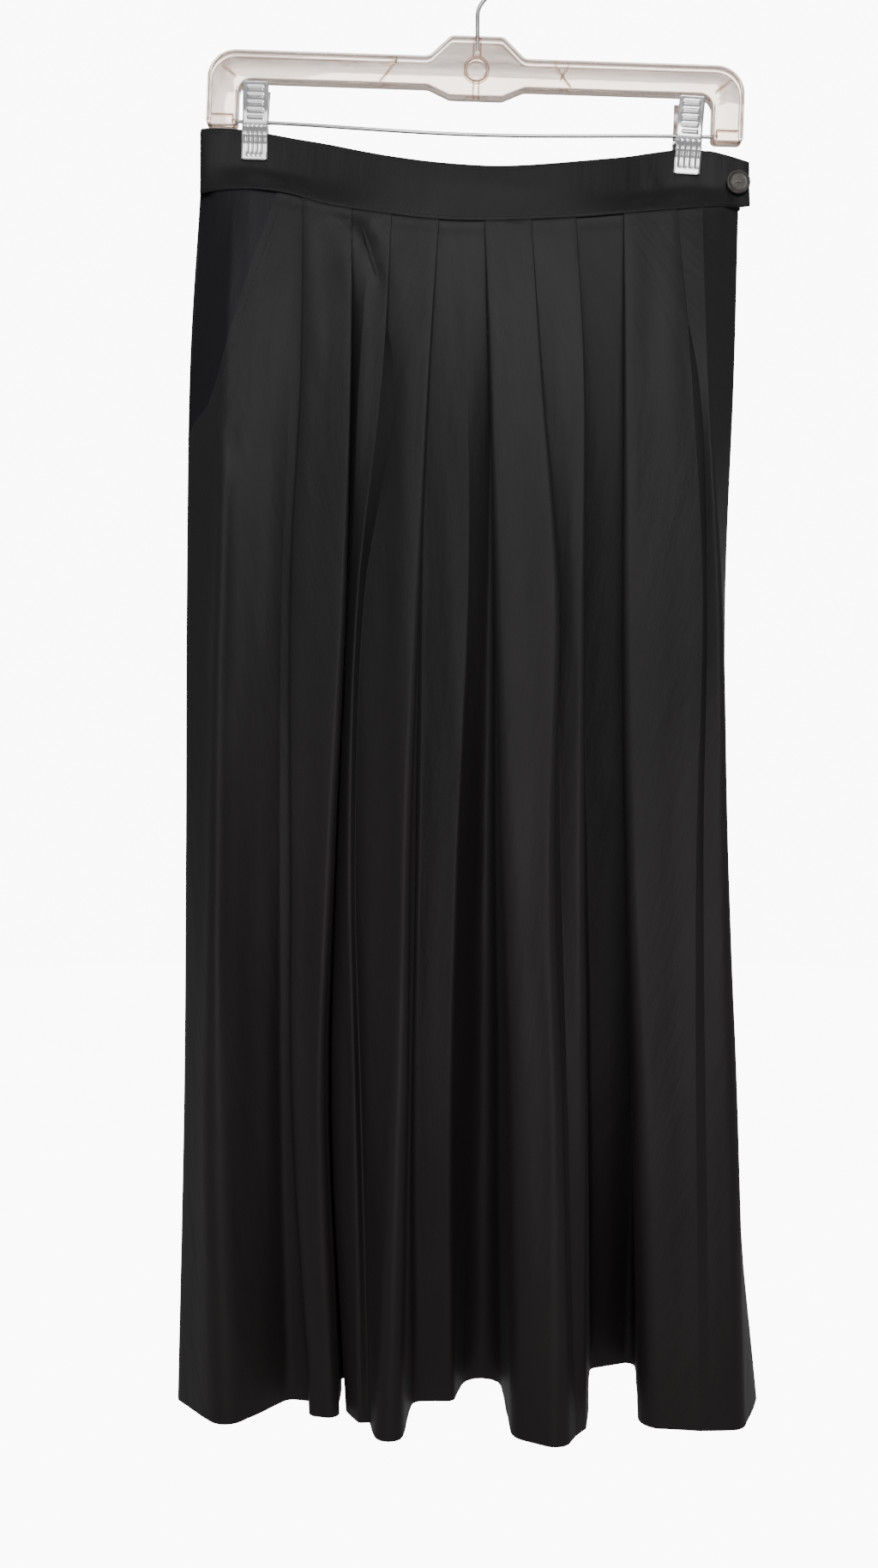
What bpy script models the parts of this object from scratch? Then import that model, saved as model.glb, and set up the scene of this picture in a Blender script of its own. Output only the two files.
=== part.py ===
"""Pleated skirt held by its waistband on a clear clip hanger.

The origin is the seat of the hook, where it hangs. +X is to the right as seen from the front,
+Y points away from the front and +Z is up. Lengths are millimetres until a mesh is made.
Heights in the tables are measured from the top of the hanger's bar.
"""
import math
from collections import namedtuple

import bmesh
import bpy
from mathutils import Matrix, Vector

MM = 0.001

# Cloth and waist seam
CLOTH = 1.0
SEAM_GAP = 0.3
TIGHT_BEND = 0.68
UNDER = 6.6
WAIST_BULGE = 14.0
WAIST_CENTRE = -6.0
WAIST_HALF = 181.0
WAIST_SQUARENESS = 4.0
HEM_HEIGHT = -905.8
HOOK_HEIGHT = 68.0

# Waistband
BAND = 2.0
BAND_PINCHED = 1.35
BAND_TOP_BULGE = 9.0
LAP_START = 154.0
LAP_MIDDLE = (162.0, 167.0)
LAP_FOLD = 171.0
LAP_SPREAD = 2.4
TAB_END = 180.0
PINCH_INNER = 9.5
PINCH_OUTER = 48.0
PINCH_HOLD = 0.52

# Button
BUTTON_CENTRE = (172.0, -97.5)
BUTTON_RADIUS = 8.0
BUTTON_THICK = 2.6
BUTTON_RIM = 1.6
BUTTON_BEVEL = 1.2
BUTTON_DISH = 0.7
BUTTON_HOLE = 0.9
BUTTON_HOLE_STEP = 1.7

# Hanger
TILT = math.radians(1.9)
BAR_HALF = 178.0
BAR_TOP = -14.0
BAR_UNDER = -33.5
PLATE_HALF = 17.5
PLATE_SHOULDER = 32.0
PLATE_UNDER = -40.0
LEG_WIDTH = 21.0
LEG_FOOT = -64.5
BAR_THICK = 9.0
RIM_WIDTH = 2.4
WEB_RECESS = 2.4
BOSS_RADIUS = 8.5
WIRE_RADIUS = 1.4
WIRE_CLEARANCE = 0.3
EAR_CLEARANCE = 0.6
STEM_DEPTH = 9.0
NECK_START = 15.0
HOOK_RADIUS = 20.0
HOOK_JOIN = math.radians(-40)
HOOK_TIP = math.radians(202)
ROD_RADIUS = 1.15
ROD_HEIGHT = -60.0
ROD_BOW = 3.6
ROD_REACH = 161.5

# Clips
CLIP_WIDTH = 17.0
CLIP_PLATE = 1.2
JAW_FACE = BAND_PINCHED + BAND / 2 + SEAM_GAP
EAR_THICK = 1.2
EAR_HALF_HEIGHT = 3.0
EAR_REACH = 2.4
Clip = namedtuple("Clip", "name x lean")
CLIPS = (
    Clip("left", -145.3, 0.0),
    Clip("right", 142.2, math.radians(2.0)),
)

# Fractions of the way from waist seam to hem at which the tables give a fold's place
LEVELS = (0.0, 0.14, 0.32, 0.534, 0.749, 1.0)
DEPTH_LEVELS = (0.0, 0.32, 1.0)
FRONT_ROWS = (0.0, 0.03, 0.07, 0.115, 0.16, 0.2, 0.27, 0.36, 0.47, 0.6, 0.74, 0.87, 1.0)
BACK_ROWS = (0.0, 0.05, 0.13, 0.25, 0.4, 0.55, 0.7, 0.85, 1.0)
FACING_ROWS = (0.0, 0.03, 0.07, 0.115, 0.16, 0.2, 0.225)
ARC_STEPS = 3
SIDE_COLUMNS = 9

# Height of the waistband's two edges along x
Edge = namedtuple("Edge", "x height")
BAND_TOP_EDGE = (
    Edge(-186, -60.8), Edge(-155, -61.2), Edge(-109, -69.9), Edge(-60, -81.5), Edge(0, -88.0),
    Edge(45, -87.0), Edge(90, -81.4), Edge(130, -74.6), Edge(150, -75.0), Edge(165, -78.3),
    Edge(180, -83.0),
)
SEAM_EDGE = (
    Edge(-186, -104.4), Edge(-150, -104.6), Edge(-125, -108.2), Edge(-98, -116.0),
    Edge(-40, -124.5), Edge(0, -126.6), Edge(60, -124.6), Edge(110, -120.2), Edge(180, -112.8),
)

# Slanted pocket mouth: distance down the skirt against x
Mouth = namedtuple("Mouth", "down x")
POCKET_MOUTH = (Mouth(0.0, -131), Mouth(0.075, -152), Mouth(0.115, -162), Mouth(0.1785, -178.5),
                Mouth(0.1945, -192))
MOUTH_END = 0.1945
FACING_LAP = 20.0
FACING_SHIFT = 1.7
FACING_START = 2.0

# Folds of the front, left to right. A ridge turns towards the viewer and a hollow away.
# faces says which way the crisp edge points: 1 right, -1 left, 0 the x is the bend's centre.
# The six x columns are at LEVELS. tuck is the depth behind the waist seam's outer face,
# thigh_y and hem_y the depth of the bend's centre, bend its radius at the hem.
RIDGE = 1
HOLLOW = -1
Fold = namedtuple("Fold", "name turn faces waist hip thigh knee calf hem tuck thigh_y hem_y bend")
FRONT_FOLDS = (
    Fold("side_l", RIDGE, -1, -184, -191, -193.5, -194.5, -196, -200.5, 2.9, 2.6, 8, 8),
    Fold("ridge_l", RIDGE, 0, -161, -165.5, -168, -170, -170, -163.5, 0, -10, -18, 13),
    Fold("shade_l", HOLLOW, 0, -121, -123, -129, -130, -129, -122.5, 5.5, -5, -3, 9),
    Fold("under_1", HOLLOW, 1, -101, -102, -109, -111, -110, -99.5, UNDER, 0, -2, 3),
    Fold("edge_1", RIDGE, -1, -114.6, -116, -123, -123.5, -123, -111, 0, -13, -13, 6.4),
    Fold("edge_2", RIDGE, 1, -82.5, -83, -86.8, -94.4, -99, -90.8, 0, -12.5, -13.5, 7),
    Fold("under_2", HOLLOW, -1, -96.5, -86.5, -88, -95, -100, -92.9, UNDER, 5, 36, 1.8),
    Fold("strip_l", RIDGE, -1, -70, -78, -84, -91.8, -96.2, -86.9, 0, -8, -5, 5),
    Fold("edge_3", RIDGE, 1, -56.5, -62.6, -77.6, -82.4, -78.4, -73.1, 0, -16, -24.5, 2.5),
    Fold("under_3", HOLLOW, 0, -79, -55, -74.3, -80.5, -76.2, -71.2, UNDER, -9, -28, 1.5),
    Fold("edge_4", RIDGE, 1, -25.6, -32, -37.8, -43.2, -45, -48.6, 0, -21, -45.5, 9),
    Fold("under_4", HOLLOW, 0, -53, -37, -36.5, -38, -40, -37.6, UNDER, -5, -3, 6),
    Fold("inner", RIDGE, 1, -9.6, -6, -5, -11.6, -15.3, -14.6, UNDER, 0, 9, 6),
    Fold("under_5", HOLLOW, 0, 18, 9.5, 7.5, 5.5, 4.5, 3.4, UNDER, 6, 25, 13),
    Fold("edge_5", RIDGE, -1, 4.2, 7.4, 10.3, 14, 17.6, 19.7, 0, -20, -38, 14.5),
    Fold("edge_6", RIDGE, 1, 34.5, 42, 52, 49.5, 54.5, 57.5, 0, -24, -48.5, 11),
    Fold("under_6", HOLLOW, 0, 22.5, 36, 50.5, 53, 57, 61.4, UNDER, -16, -45.5, 1),
    Fold("edge_7", RIDGE, 1, 63.8, 69.7, 69.4, 68.9, 70.1, 68.4, 0, -18, -32, 8),
    Fold("under_7", HOLLOW, 0, 39.3, 66, 71, 76, 81, 86.4, UNDER, 14, 49, 6),
    Fold("under_8", HOLLOW, 0, 111.5, 110, 109, 108.5, 108, 106.4, UNDER, 15, 57, 6),
    Fold("edge_8", RIDGE, -1, 95.3, 95.1, 94.1, 94.6, 99.9, 103.9, 0, -14, -22, 13.5),
    Fold("edge_9", RIDGE, 1, 130, 139.4, 146, 141, 140, 141, 0, -18, -37.4, 1),
    Fold("under_9", HOLLOW, 0, 116.5, 144, 150, 146, 146, 147, UNDER, -13, -39.2, 1),
    Fold("ridge_r", RIDGE, 0, 147, 150, 156.5, 157.5, 160, 162, 0, -12, -28, 10),
    Fold("side_r", RIDGE, 1, 173, 170.4, 165, 165.5, 171, 183, 2.2, 2.6, 8, 8),
)
FIRST_FREE_FOLD = 2

# Folds of the back, seen from behind, left to right: x at the waist and the hem
BackFold = namedtuple("BackFold", "name turn faces waist hem tuck hem_y bend")
BACK_FOLDS = (
    BackFold("edge_a", RIDGE, 1, -117, -141, 0, -84, 14),
    BackFold("under_a", HOLLOW, 0, -137, -131, UNDER, -58, 6),
    BackFold("edge_b", RIDGE, 1, -86, -96, 0, -94, 12),
    BackFold("under_b", HOLLOW, 0, -108, -86, UNDER, -74, 7),
    BackFold("edge_c", RIDGE, 1, -55, -48, 0, -88, 13),
    BackFold("under_c", HOLLOW, 0, -77, -38, UNDER, -68, 6),
    BackFold("edge_d", RIDGE, 1, -24, -2, 0, -96, 14),
    BackFold("under_d", HOLLOW, 0, -46, 9, UNDER, -66, 8),
    BackFold("under_e", HOLLOW, 0, 54, 36, UNDER, -62, 7),
    BackFold("edge_e", RIDGE, -1, 34, 45, 0, -86, 12),
    BackFold("under_f", HOLLOW, 0, 85, 81, UNDER, -60, 6),
    BackFold("edge_f", RIDGE, -1, 65, 89, 0, -92, 14),
    BackFold("under_g", HOLLOW, 0, 116, 127, UNDER, -58, 6),
    BackFold("edge_g", RIDGE, -1, 96, 136, 0, -84, 12),
    BackFold("under_h", HOLLOW, 0, 147, 167, UNDER, -52, 4),
    BackFold("edge_h", RIDGE, -1, 127, 172, 0, -66, 11),
)

# Colour, roughness, metallic, alpha
LOOKS = {
    "black_cloth": ((0.012, 0.012, 0.013), 0.55, 0.0, 1.0),
    "button_horn": ((0.055, 0.048, 0.045), 0.35, 0.0, 1.0),
    "clear_plastic": ((0.86, 0.86, 0.84), 0.12, 0.0, 0.35),
    "chrome": ((0.72, 0.72, 0.73), 0.18, 1.0, 1.0),
}


def clear_scene():
    for item in list(bpy.data.objects):
        bpy.data.objects.remove(item, do_unlink=True)


def look(slot):
    """The material of one slot."""
    if slot in bpy.data.materials:
        return bpy.data.materials[slot]
    colour, roughness, metallic, alpha = LOOKS[slot]
    material = bpy.data.materials.new(slot)
    material.use_nodes = True
    shader = material.node_tree.nodes["Principled BSDF"]
    shader.inputs["Base Color"].default_value = (*colour, 1.0)
    shader.inputs["Roughness"].default_value = roughness
    shader.inputs["Metallic"].default_value = metallic
    shader.inputs["Alpha"].default_value = alpha
    return material


def to_world(point):
    """A point in millimetres from the bar's top, in metres from the hook's seat."""
    x, y, z = point
    return Vector((x, y, z - HOOK_HEIGHT)) * MM


def add_object(name, mesh, slot):
    mesh.materials.append(look(slot))
    item = bpy.data.objects.new(name, mesh)
    bpy.context.collection.objects.link(item)
    return item


def finish_mesh(name, mesh_builder, slot, smooth_angle=None):
    """Write a bmesh to a new object with its faces pointing out."""
    bmesh.ops.recalc_face_normals(mesh_builder, faces=mesh_builder.faces)
    mesh = bpy.data.meshes.new(name)
    mesh_builder.to_mesh(mesh)
    mesh_builder.free()
    if smooth_angle is not None:
        mesh.shade_smooth()
        mesh.set_sharp_from_angle(angle=math.radians(smooth_angle))
    return add_object(name, mesh, slot)


def smooth_along(stations, values, at):
    """Value at one station of a smooth curve through all of them."""
    last = len(stations) - 1
    at = min(max(at, stations[0]), stations[last])
    i = 0
    while i < last - 1 and at > stations[i + 1]:
        i += 1

    def slope(k):
        low = max(k - 1, 0)
        high = min(k + 1, last)
        return (values[high] - values[low]) / (stations[high] - stations[low])

    span = stations[i + 1] - stations[i]
    t = (at - stations[i]) / span
    rise = values[i + 1] - values[i]
    start = slope(i) * span
    end = slope(i + 1) * span
    return values[i] + t * (start + t * ((3 * rise - 2 * start - end) + t * (start + end - 2 * rise)))


def edge_height(edge, x):
    return smooth_along([e.x for e in edge], [e.height for e in edge], x)


def waist_face(x):
    """Depth of the waist seam's outer face in front of the middle, along x."""
    off = min(abs(x - WAIST_CENTRE) / WAIST_HALF, 1.0)
    return -WAIST_BULGE * math.sqrt(1.0 - off ** WAIST_SQUARENESS)


def smooth_step(low, high, value):
    t = min(max((value - low) / (high - low), 0.0), 1.0)
    return t * t * (3.0 - 2.0 * t)


Stop = namedtuple("Stop", "x y radius turn")


def front_stops(down):
    """The bends of the front's cloth at one distance down the skirt."""
    stops = []
    for fold in FRONT_FOLDS:
        radius = TIGHT_BEND + (fold.bend - TIGHT_BEND) * down
        tip = smooth_along(LEVELS, (fold.waist, fold.hip, fold.thigh, fold.knee, fold.calf, fold.hem), down)
        seam_y = waist_face(fold.waist) + fold.tuck + fold.turn * TIGHT_BEND
        y = smooth_along(DEPTH_LEVELS, (seam_y, fold.thigh_y, fold.hem_y), down)
        stops.append(Stop(tip - fold.faces * radius, y, radius, fold.turn))
    return stops


def back_stops(down):
    """The bends of the back's cloth, seen from behind, between the front's two side seams."""
    sides = [Stop(-s.x, -s.y - SEAM_GAP, s.radius, RIDGE) for s in front_stops(down)]
    stops = [sides[-1]]
    for fold in BACK_FOLDS:
        radius = TIGHT_BEND + (fold.bend - TIGHT_BEND) * down
        tip = fold.waist + (fold.hem - fold.waist) * down
        seam_y = waist_face(-fold.waist) + fold.tuck + fold.turn * TIGHT_BEND
        y = seam_y + (fold.hem_y - seam_y) * down
        stops.append(Stop(tip - fold.faces * radius, y, radius, fold.turn))
    stops.append(sides[0])
    return stops


def wrap(stops, steps=ARC_STEPS):
    """Cloth section drawn tight round each stop in turn.

    It starts heading towards the viewer at the left side and ends heading away at the right.
    Returns one list of (x, y, heading) for each stop: its arc, then the middle of the straight
    stretch that follows.
    """
    headings = [-math.pi / 2]
    for a, b in zip(stops, stops[1:]):
        dx = b.x - a.x
        dy = b.y - a.y
        shift = (b.turn * b.radius - a.turn * a.radius) / math.hypot(dx, dy)
        headings.append(math.atan2(dy, dx) - math.asin(max(-1.0, min(1.0, shift))))
    headings.append(math.pi / 2)
    groups = []
    heading = headings[0]
    for i, stop in enumerate(stops):
        turned = (headings[i + 1] - headings[i]) * stop.turn
        turned = (turned + math.pi / 2) % (2 * math.pi) - math.pi / 2
        arc = []
        for k in range(steps + 1):
            angle = heading + stop.turn * turned * k / steps
            bend = stop.turn * stop.radius
            arc.append((stop.x + bend * math.sin(angle), stop.y - bend * math.cos(angle), angle))
        heading = arc[-1][2]
        groups.append(arc)
    for group, following in zip(groups, groups[1:]):
        a = group[-1]
        b = following[0]
        group.append(((a[0] + b[0]) / 2, (a[1] + b[1]) / 2, a[2]))
    return groups


def lengths_along(points):
    """Distance of each point from the first, measured along the line."""
    total = [0.0]
    for a, b in zip(points, points[1:]):
        total.append(total[-1] + math.hypot(b[0] - a[0], b[1] - a[1]))
    return total


def point_at(points, lengths, distance):
    """Point and heading at one distance along a line of points."""
    i = 0
    while i < len(points) - 2 and lengths[i + 1] < distance:
        i += 1
    t = (distance - lengths[i]) / max(lengths[i + 1] - lengths[i], 1e-9)
    return tuple(a + (b - a) * t for a, b in zip(points[i], points[i + 1]))


def side_stretch(groups):
    """The front's cloth from the left side seam to its first free fold."""
    points = [point for group in groups[:FIRST_FREE_FOLD] for point in group]
    return points + [groups[FIRST_FREE_FOLD][0]]


def mouth_distance(points, lengths, down):
    """How far along the side stretch the pocket mouth lies."""
    if down >= MOUTH_END:
        return 0.0
    target = smooth_along([m.down for m in POCKET_MOUTH], [m.x for m in POCKET_MOUTH], down)
    for i in range(1, len(points)):
        if points[i][0] >= target:
            step = points[i][0] - points[i - 1][0]
            part = (target - points[i - 1][0]) / max(step, 1e-9)
            return lengths[i - 1] + max(part, 0.0) * (lengths[i] - lengths[i - 1])
    return lengths[-1]


def front_row(down):
    """One row of the front panel, from the pocket mouth or side seam to the right side seam."""
    groups = wrap(front_stops(down))
    side = side_stretch(groups)
    lengths = lengths_along(side)
    start = mouth_distance(side, lengths, down)
    row = []
    for k in range(SIDE_COLUMNS):
        row.append(point_at(side, lengths, start + (lengths[-1] - start) * k / SIDE_COLUMNS))
    for group in groups[FIRST_FREE_FOLD:]:
        row.extend(group)
    return row


def facing_row(down, columns=8):
    """One row of the pocket facing, just behind the front's mouth edge."""
    groups = wrap(front_stops(down))
    side = side_stretch(groups)
    lengths = lengths_along(side)
    start = mouth_distance(side, lengths, down)
    width = min(start + FACING_LAP, lengths[-1]) - FACING_START
    row = []
    for k in range(columns + 1):
        x, y, heading = point_at(side, lengths, FACING_START + width * k / columns)
        row.append((x + FACING_SHIFT, y + FACING_SHIFT, heading))
    return row


def back_row(down):
    """One row of the back panel, brought round to the front's frame."""
    row = [point for group in wrap(back_stops(down)) for point in group]
    return [(-x, -y, heading + math.pi) for x, y, heading in row]


def hang_row(row, down):
    """Add each point's height: level at the hem, following the waist seam at the top."""
    hung = []
    for x, y, heading in row:
        top = edge_height(SEAM_EDGE, x) - SEAM_GAP
        hung.append((x, y, top + (HEM_HEIGHT - top) * down, heading))
    return hung


def wall(name, rows, thickness, slot):
    """A sheet of even thickness round rows of (x, y, z, heading)."""
    builder = bmesh.new()
    sheets = []
    for side in (0.5, -0.5):
        sheet = []
        for row in rows:
            line = []
            for x, y, z, heading in row:
                out = side * thickness
                line.append(builder.verts.new(
                    to_world((x + out * math.sin(heading), y - out * math.cos(heading), z))))
            sheet.append(line)
        sheets.append(sheet)
    outer, inner = sheets
    last_row = len(rows) - 1
    last_column = len(rows[0]) - 1
    for r in range(last_row):
        for c in range(last_column):
            builder.faces.new((outer[r][c], outer[r + 1][c], outer[r + 1][c + 1], outer[r][c + 1]))
            builder.faces.new((inner[r][c], inner[r][c + 1], inner[r + 1][c + 1], inner[r + 1][c]))
        for c in (0, last_column):
            builder.faces.new((outer[r][c], inner[r][c], inner[r + 1][c], outer[r + 1][c]))
    for r in (0, last_row):
        for c in range(last_column):
            builder.faces.new((outer[r][c], outer[r][c + 1], inner[r][c + 1], inner[r][c]))
    return finish_mesh(name, builder, slot, smooth_angle=50)


def make_skirt():
    wall("skirt_front", [hang_row(front_row(s), s) for s in FRONT_ROWS], CLOTH, "black_cloth")
    wall("pocket_facing", [hang_row(facing_row(s), s) for s in FACING_ROWS], CLOTH, "black_cloth")
    wall("skirt_back", [hang_row(back_row(s), s) for s in BACK_ROWS], CLOTH, "black_cloth")


def band_half_depth(x, down):
    """Half the distance between the front and back of the band, pinched at the clips."""
    free = BAND_TOP_BULGE / WAIST_BULGE
    depth = -waist_face(x) * (free + (1.0 - free) * down)
    hold = 1.0 - smooth_step(PINCH_HOLD, 1.0, down)
    for clip in CLIPS:
        near = 1.0 - smooth_step(PINCH_INNER, PINCH_OUTER, abs(x - clip_foot(clip)))
        depth -= (depth - BAND_PINCHED) * near * hold
    lapped = smooth_step(LAP_START - 3.0, LAP_START, x)
    least = BAND_PINCHED + (LAP_SPREAD - BAND_PINCHED) * lapped
    return max(depth, least)


def clip_foot(clip):
    """x of the clip's jaws, where the tilted hanger carries them."""
    return clip.x + ROD_HEIGHT * math.sin(TILT)


def band_stations():
    """x of the band's columns, closer together beside the clips."""
    offsets = (-PINCH_OUTER, -30, -18, -PINCH_INNER, 0, PINCH_INNER, 18, 30, PINCH_OUTER)
    found = [-48, -24, 0, 24, 48, LAP_START - 3.0, LAP_START, *LAP_MIDDLE]
    for clip in CLIPS:
        for offset in offsets:
            x = clip_foot(clip) + offset
            if -180 < x < LAP_START - 4.0:
                found.append(x)
    return sorted(found)


def band_row(down):
    """The band's path: under the tab, round the back, along the front and out to the tab's end."""
    left = -183.0
    stations = band_stations()
    spread = BAND + SEAM_GAP + 0.1
    path = []
    for x in (LAP_START, *LAP_MIDDLE):
        path.append((x, spread - band_half_depth(x, down)))
    inner_y = spread - band_half_depth(LAP_FOLD, down)
    outer_y = band_half_depth(LAP_FOLD, down)
    radius = (outer_y - inner_y) / 2
    for k in range(5):
        angle = -math.pi / 2 + math.pi * k / 4
        path.append((LAP_FOLD + radius * math.cos(angle), inner_y + radius + radius * math.sin(angle)))
    for x in reversed(stations):
        path.append((x, band_half_depth(x, down)))
    radius = band_half_depth(left + 3, down)
    for k in range(5):
        angle = math.pi / 2 + math.pi * k / 4
        path.append((left + 3 + 1.4 * math.cos(angle), radius * math.sin(angle)))
    for x in stations + [LAP_FOLD, TAB_END]:
        path.append((x, -band_half_depth(min(x, LAP_FOLD), down)))
    row = []
    for i, (x, y) in enumerate(path):
        before = path[max(i - 1, 0)]
        after = path[min(i + 1, len(path) - 1)]
        top = edge_height(BAND_TOP_EDGE, x)
        bottom = edge_height(SEAM_EDGE, x)
        heading = math.atan2(after[1] - before[1], after[0] - before[0])
        row.append((x, y, top + (bottom - top) * down, heading))
    return row


def make_waistband():
    wall("waistband", [band_row(s) for s in (0.0, 0.25, 0.5, 0.75, 1.0)], BAND, "black_cloth")


def make_button():
    """Round button with a raised rim, a dished face and two holes."""
    x, z = BUTTON_CENTRE
    foot = BUTTON_RADIUS - BUTTON_BEVEL
    reach = []
    for k in range(8):
        rim_x = x + foot * math.cos(k * math.pi / 4)
        rim_z = z + foot * math.sin(k * math.pi / 4)
        top = edge_height(BAND_TOP_EDGE, rim_x)
        bottom = edge_height(SEAM_EDGE, rim_x)
        reach.append(band_half_depth(min(rim_x, LAP_FOLD), (rim_z - top) / (bottom - top)))
    face = -max(reach) - BAND / 2 - SEAM_GAP
    profile = (
        (foot, 0.0),
        (BUTTON_RADIUS, 0.8),
        (BUTTON_RADIUS, BUTTON_THICK - 0.6),
        (BUTTON_RADIUS - 0.6, BUTTON_THICK),
        (BUTTON_RADIUS - BUTTON_RIM, BUTTON_THICK),
        (BUTTON_RADIUS - BUTTON_RIM - 0.7, BUTTON_THICK - BUTTON_DISH),
    )
    sides = 24
    builder = bmesh.new()
    rings = []
    for radius, rise in profile:
        ring = []
        for k in range(sides):
            angle = 2 * math.pi * k / sides
            ring.append(builder.verts.new(
                to_world((x + radius * math.cos(angle), face - rise, z + radius * math.sin(angle)))))
        rings.append(ring)
    for inner, outer in zip(rings, rings[1:]):
        for k in range(sides):
            n = (k + 1) % sides
            builder.faces.new((inner[k], inner[n], outer[n], outer[k]))
    builder.faces.new(rings[0])
    builder.faces.new(rings[-1])
    button = finish_mesh("waist_button", builder, "button_horn", smooth_angle=40)
    for side in (-1, 1):
        centre = to_world((x + side * BUTTON_HOLE_STEP, face - BUTTON_THICK / 2, z))
        cutter = cylinder(f"button_hole_{side + 1}", centre, BUTTON_HOLE, BUTTON_THICK * 3, "Y", 10)
        cut(button, cutter)


def cylinder(name, centre, radius, length, axis, sides=16):
    """A hidden cutter along one axis. The centre is in metres, the sizes in millimetres."""
    builder = bmesh.new()
    turns = {
        "X": Matrix.Rotation(math.pi / 2, 4, "Y"),
        "Y": Matrix.Rotation(math.pi / 2, 4, "X"),
        "Z": Matrix.Identity(4),
    }
    bmesh.ops.create_cone(
        builder, cap_ends=True, segments=sides, radius1=radius * MM, radius2=radius * MM,
        depth=length * MM, matrix=Matrix.Translation(centre) @ turns[axis])
    cutter = finish_mesh(name, builder, "chrome")
    cutter.hide_render = True
    cutter.display_type = "WIRE"
    return cutter


def cut(item, cutter, operation="DIFFERENCE"):
    modifier = item.modifiers.new(f"{operation.lower()}_{cutter.name}", "BOOLEAN")
    modifier.operation = operation
    modifier.solver = "EXACT"
    modifier.object = cutter


def rounded_outline(corners, steps=5):
    """Closed outline through (x, z, radius) corners, each rounded by an arc."""
    outline = []
    count = len(corners)
    for i, (x, z, radius) in enumerate(corners):
        here = Vector((x, z))
        before = Vector(corners[i - 1][:2]) - here
        after = Vector(corners[(i + 1) % count][:2]) - here
        before.normalize()
        after.normalize()
        half = before.angle(after) / 2
        reach = radius / math.tan(half)
        centre = here + (before + after).normalized() * (radius / math.sin(half))
        start = here + before * reach - centre
        end = here + after * reach - centre
        sweep = start.angle_signed(end)
        for k in range(steps + 1):
            turned = start.copy()
            turned.rotate(Matrix.Rotation(-sweep * k / steps, 2))
            outline.append(centre + turned)
    return outline


def hanger_corners():
    """Corners of the bar, legs and raised middle plate, clockwise from the plate's top left."""
    leg = BAR_HALF - LEG_WIDTH
    right = [
        (PLATE_HALF, 0.0, 6.0),
        (PLATE_SHOULDER, BAR_TOP, 7.0),
        (BAR_HALF, BAR_TOP, 19.0),
        (BAR_HALF, LEG_FOOT, 3.5),
        (leg, LEG_FOOT, 3.5),
        (leg, BAR_UNDER, 9.0),
        (PLATE_SHOULDER, BAR_UNDER, 7.0),
        (PLATE_HALF, PLATE_UNDER, 7.0),
    ]
    return right + [(-x, z, radius) for x, z, radius in reversed(right)]


def tilted(x, y, z):
    """A point of the hanger, whose right end hangs a little lower."""
    return (x * math.cos(TILT) + z * math.sin(TILT), y, z * math.cos(TILT) - x * math.sin(TILT))


def make_hanger_body():
    """Moulded bar with legs: a thick rim round a thin web, and a plain boss in the middle."""
    builder = bmesh.new()
    outline = rounded_outline(hanger_corners())
    half = BAR_THICK / 2
    loops = []
    for y in (-half, half):
        loops.append([builder.verts.new(to_world(tilted(p.x, y, p.y))) for p in outline])
    count = len(outline)
    for k in range(count):
        n = (k + 1) % count
        builder.faces.new((loops[0][k], loops[0][n], loops[1][n], loops[1][k]))
    faces = [builder.faces.new(loops[0]), builder.faces.new(loops[1])]
    bmesh.ops.recalc_face_normals(builder, faces=builder.faces)
    bmesh.ops.inset_individual(builder, faces=faces, thickness=RIM_WIDTH * MM, use_even_offset=True)
    bmesh.ops.inset_individual(builder, faces=faces, thickness=0.3 * MM, depth=-WEB_RECESS * MM)
    body = finish_mesh("hanger_body", builder, "clear_plastic", smooth_angle=35)

    middle = to_world(tilted(0.0, 0.0, (PLATE_UNDER - 2.0) / 2))
    boss = cylinder("boss_form", middle, BOSS_RADIUS, BAR_THICK - 1.0, "Y", 24)
    cut(body, boss, "UNION")
    bore = WIRE_RADIUS + WIRE_CLEARANCE
    stem = to_world((0.0, 0.0, 1.0 - STEM_DEPTH / 2))
    cut(body, cylinder("stem_bore", stem, bore, STEM_DEPTH + 2.6, "Z", 16))
    socket = ROD_RADIUS + WIRE_CLEARANCE
    for side in (-1, 1):
        centre = (ROD_REACH + WIRE_CLEARANCE + BAR_HALF - LEG_WIDTH - 2.0) / 2
        length = ROD_REACH + WIRE_CLEARANCE - (BAR_HALF - LEG_WIDTH - 2.0)
        spot = to_world(tilted(side * centre, 0.0, ROD_HEIGHT))
        cutter = cylinder(f"rod_socket_{side + 1}", Vector((0, 0, 0)), socket, length, "X", 16)
        cutter.location = spot
        cutter.rotation_euler = (0.0, TILT, 0.0)
        cut(body, cutter)


def wire(name, path, radius, slot):
    """A round wire through a path of points in millimetres."""
    curve = bpy.data.curves.new(name, "CURVE")
    curve.dimensions = "3D"
    curve.bevel_depth = radius * MM
    curve.bevel_resolution = 2
    curve.use_fill_caps = True
    spline = curve.splines.new("POLY")
    spline.points.add(len(path) - 1)
    for spot, point in zip(spline.points, path):
        spot.co = (*to_world(point), 1.0)
    curve.materials.append(look(slot))
    item = bpy.data.objects.new(name, curve)
    bpy.context.collection.objects.link(item)


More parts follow.
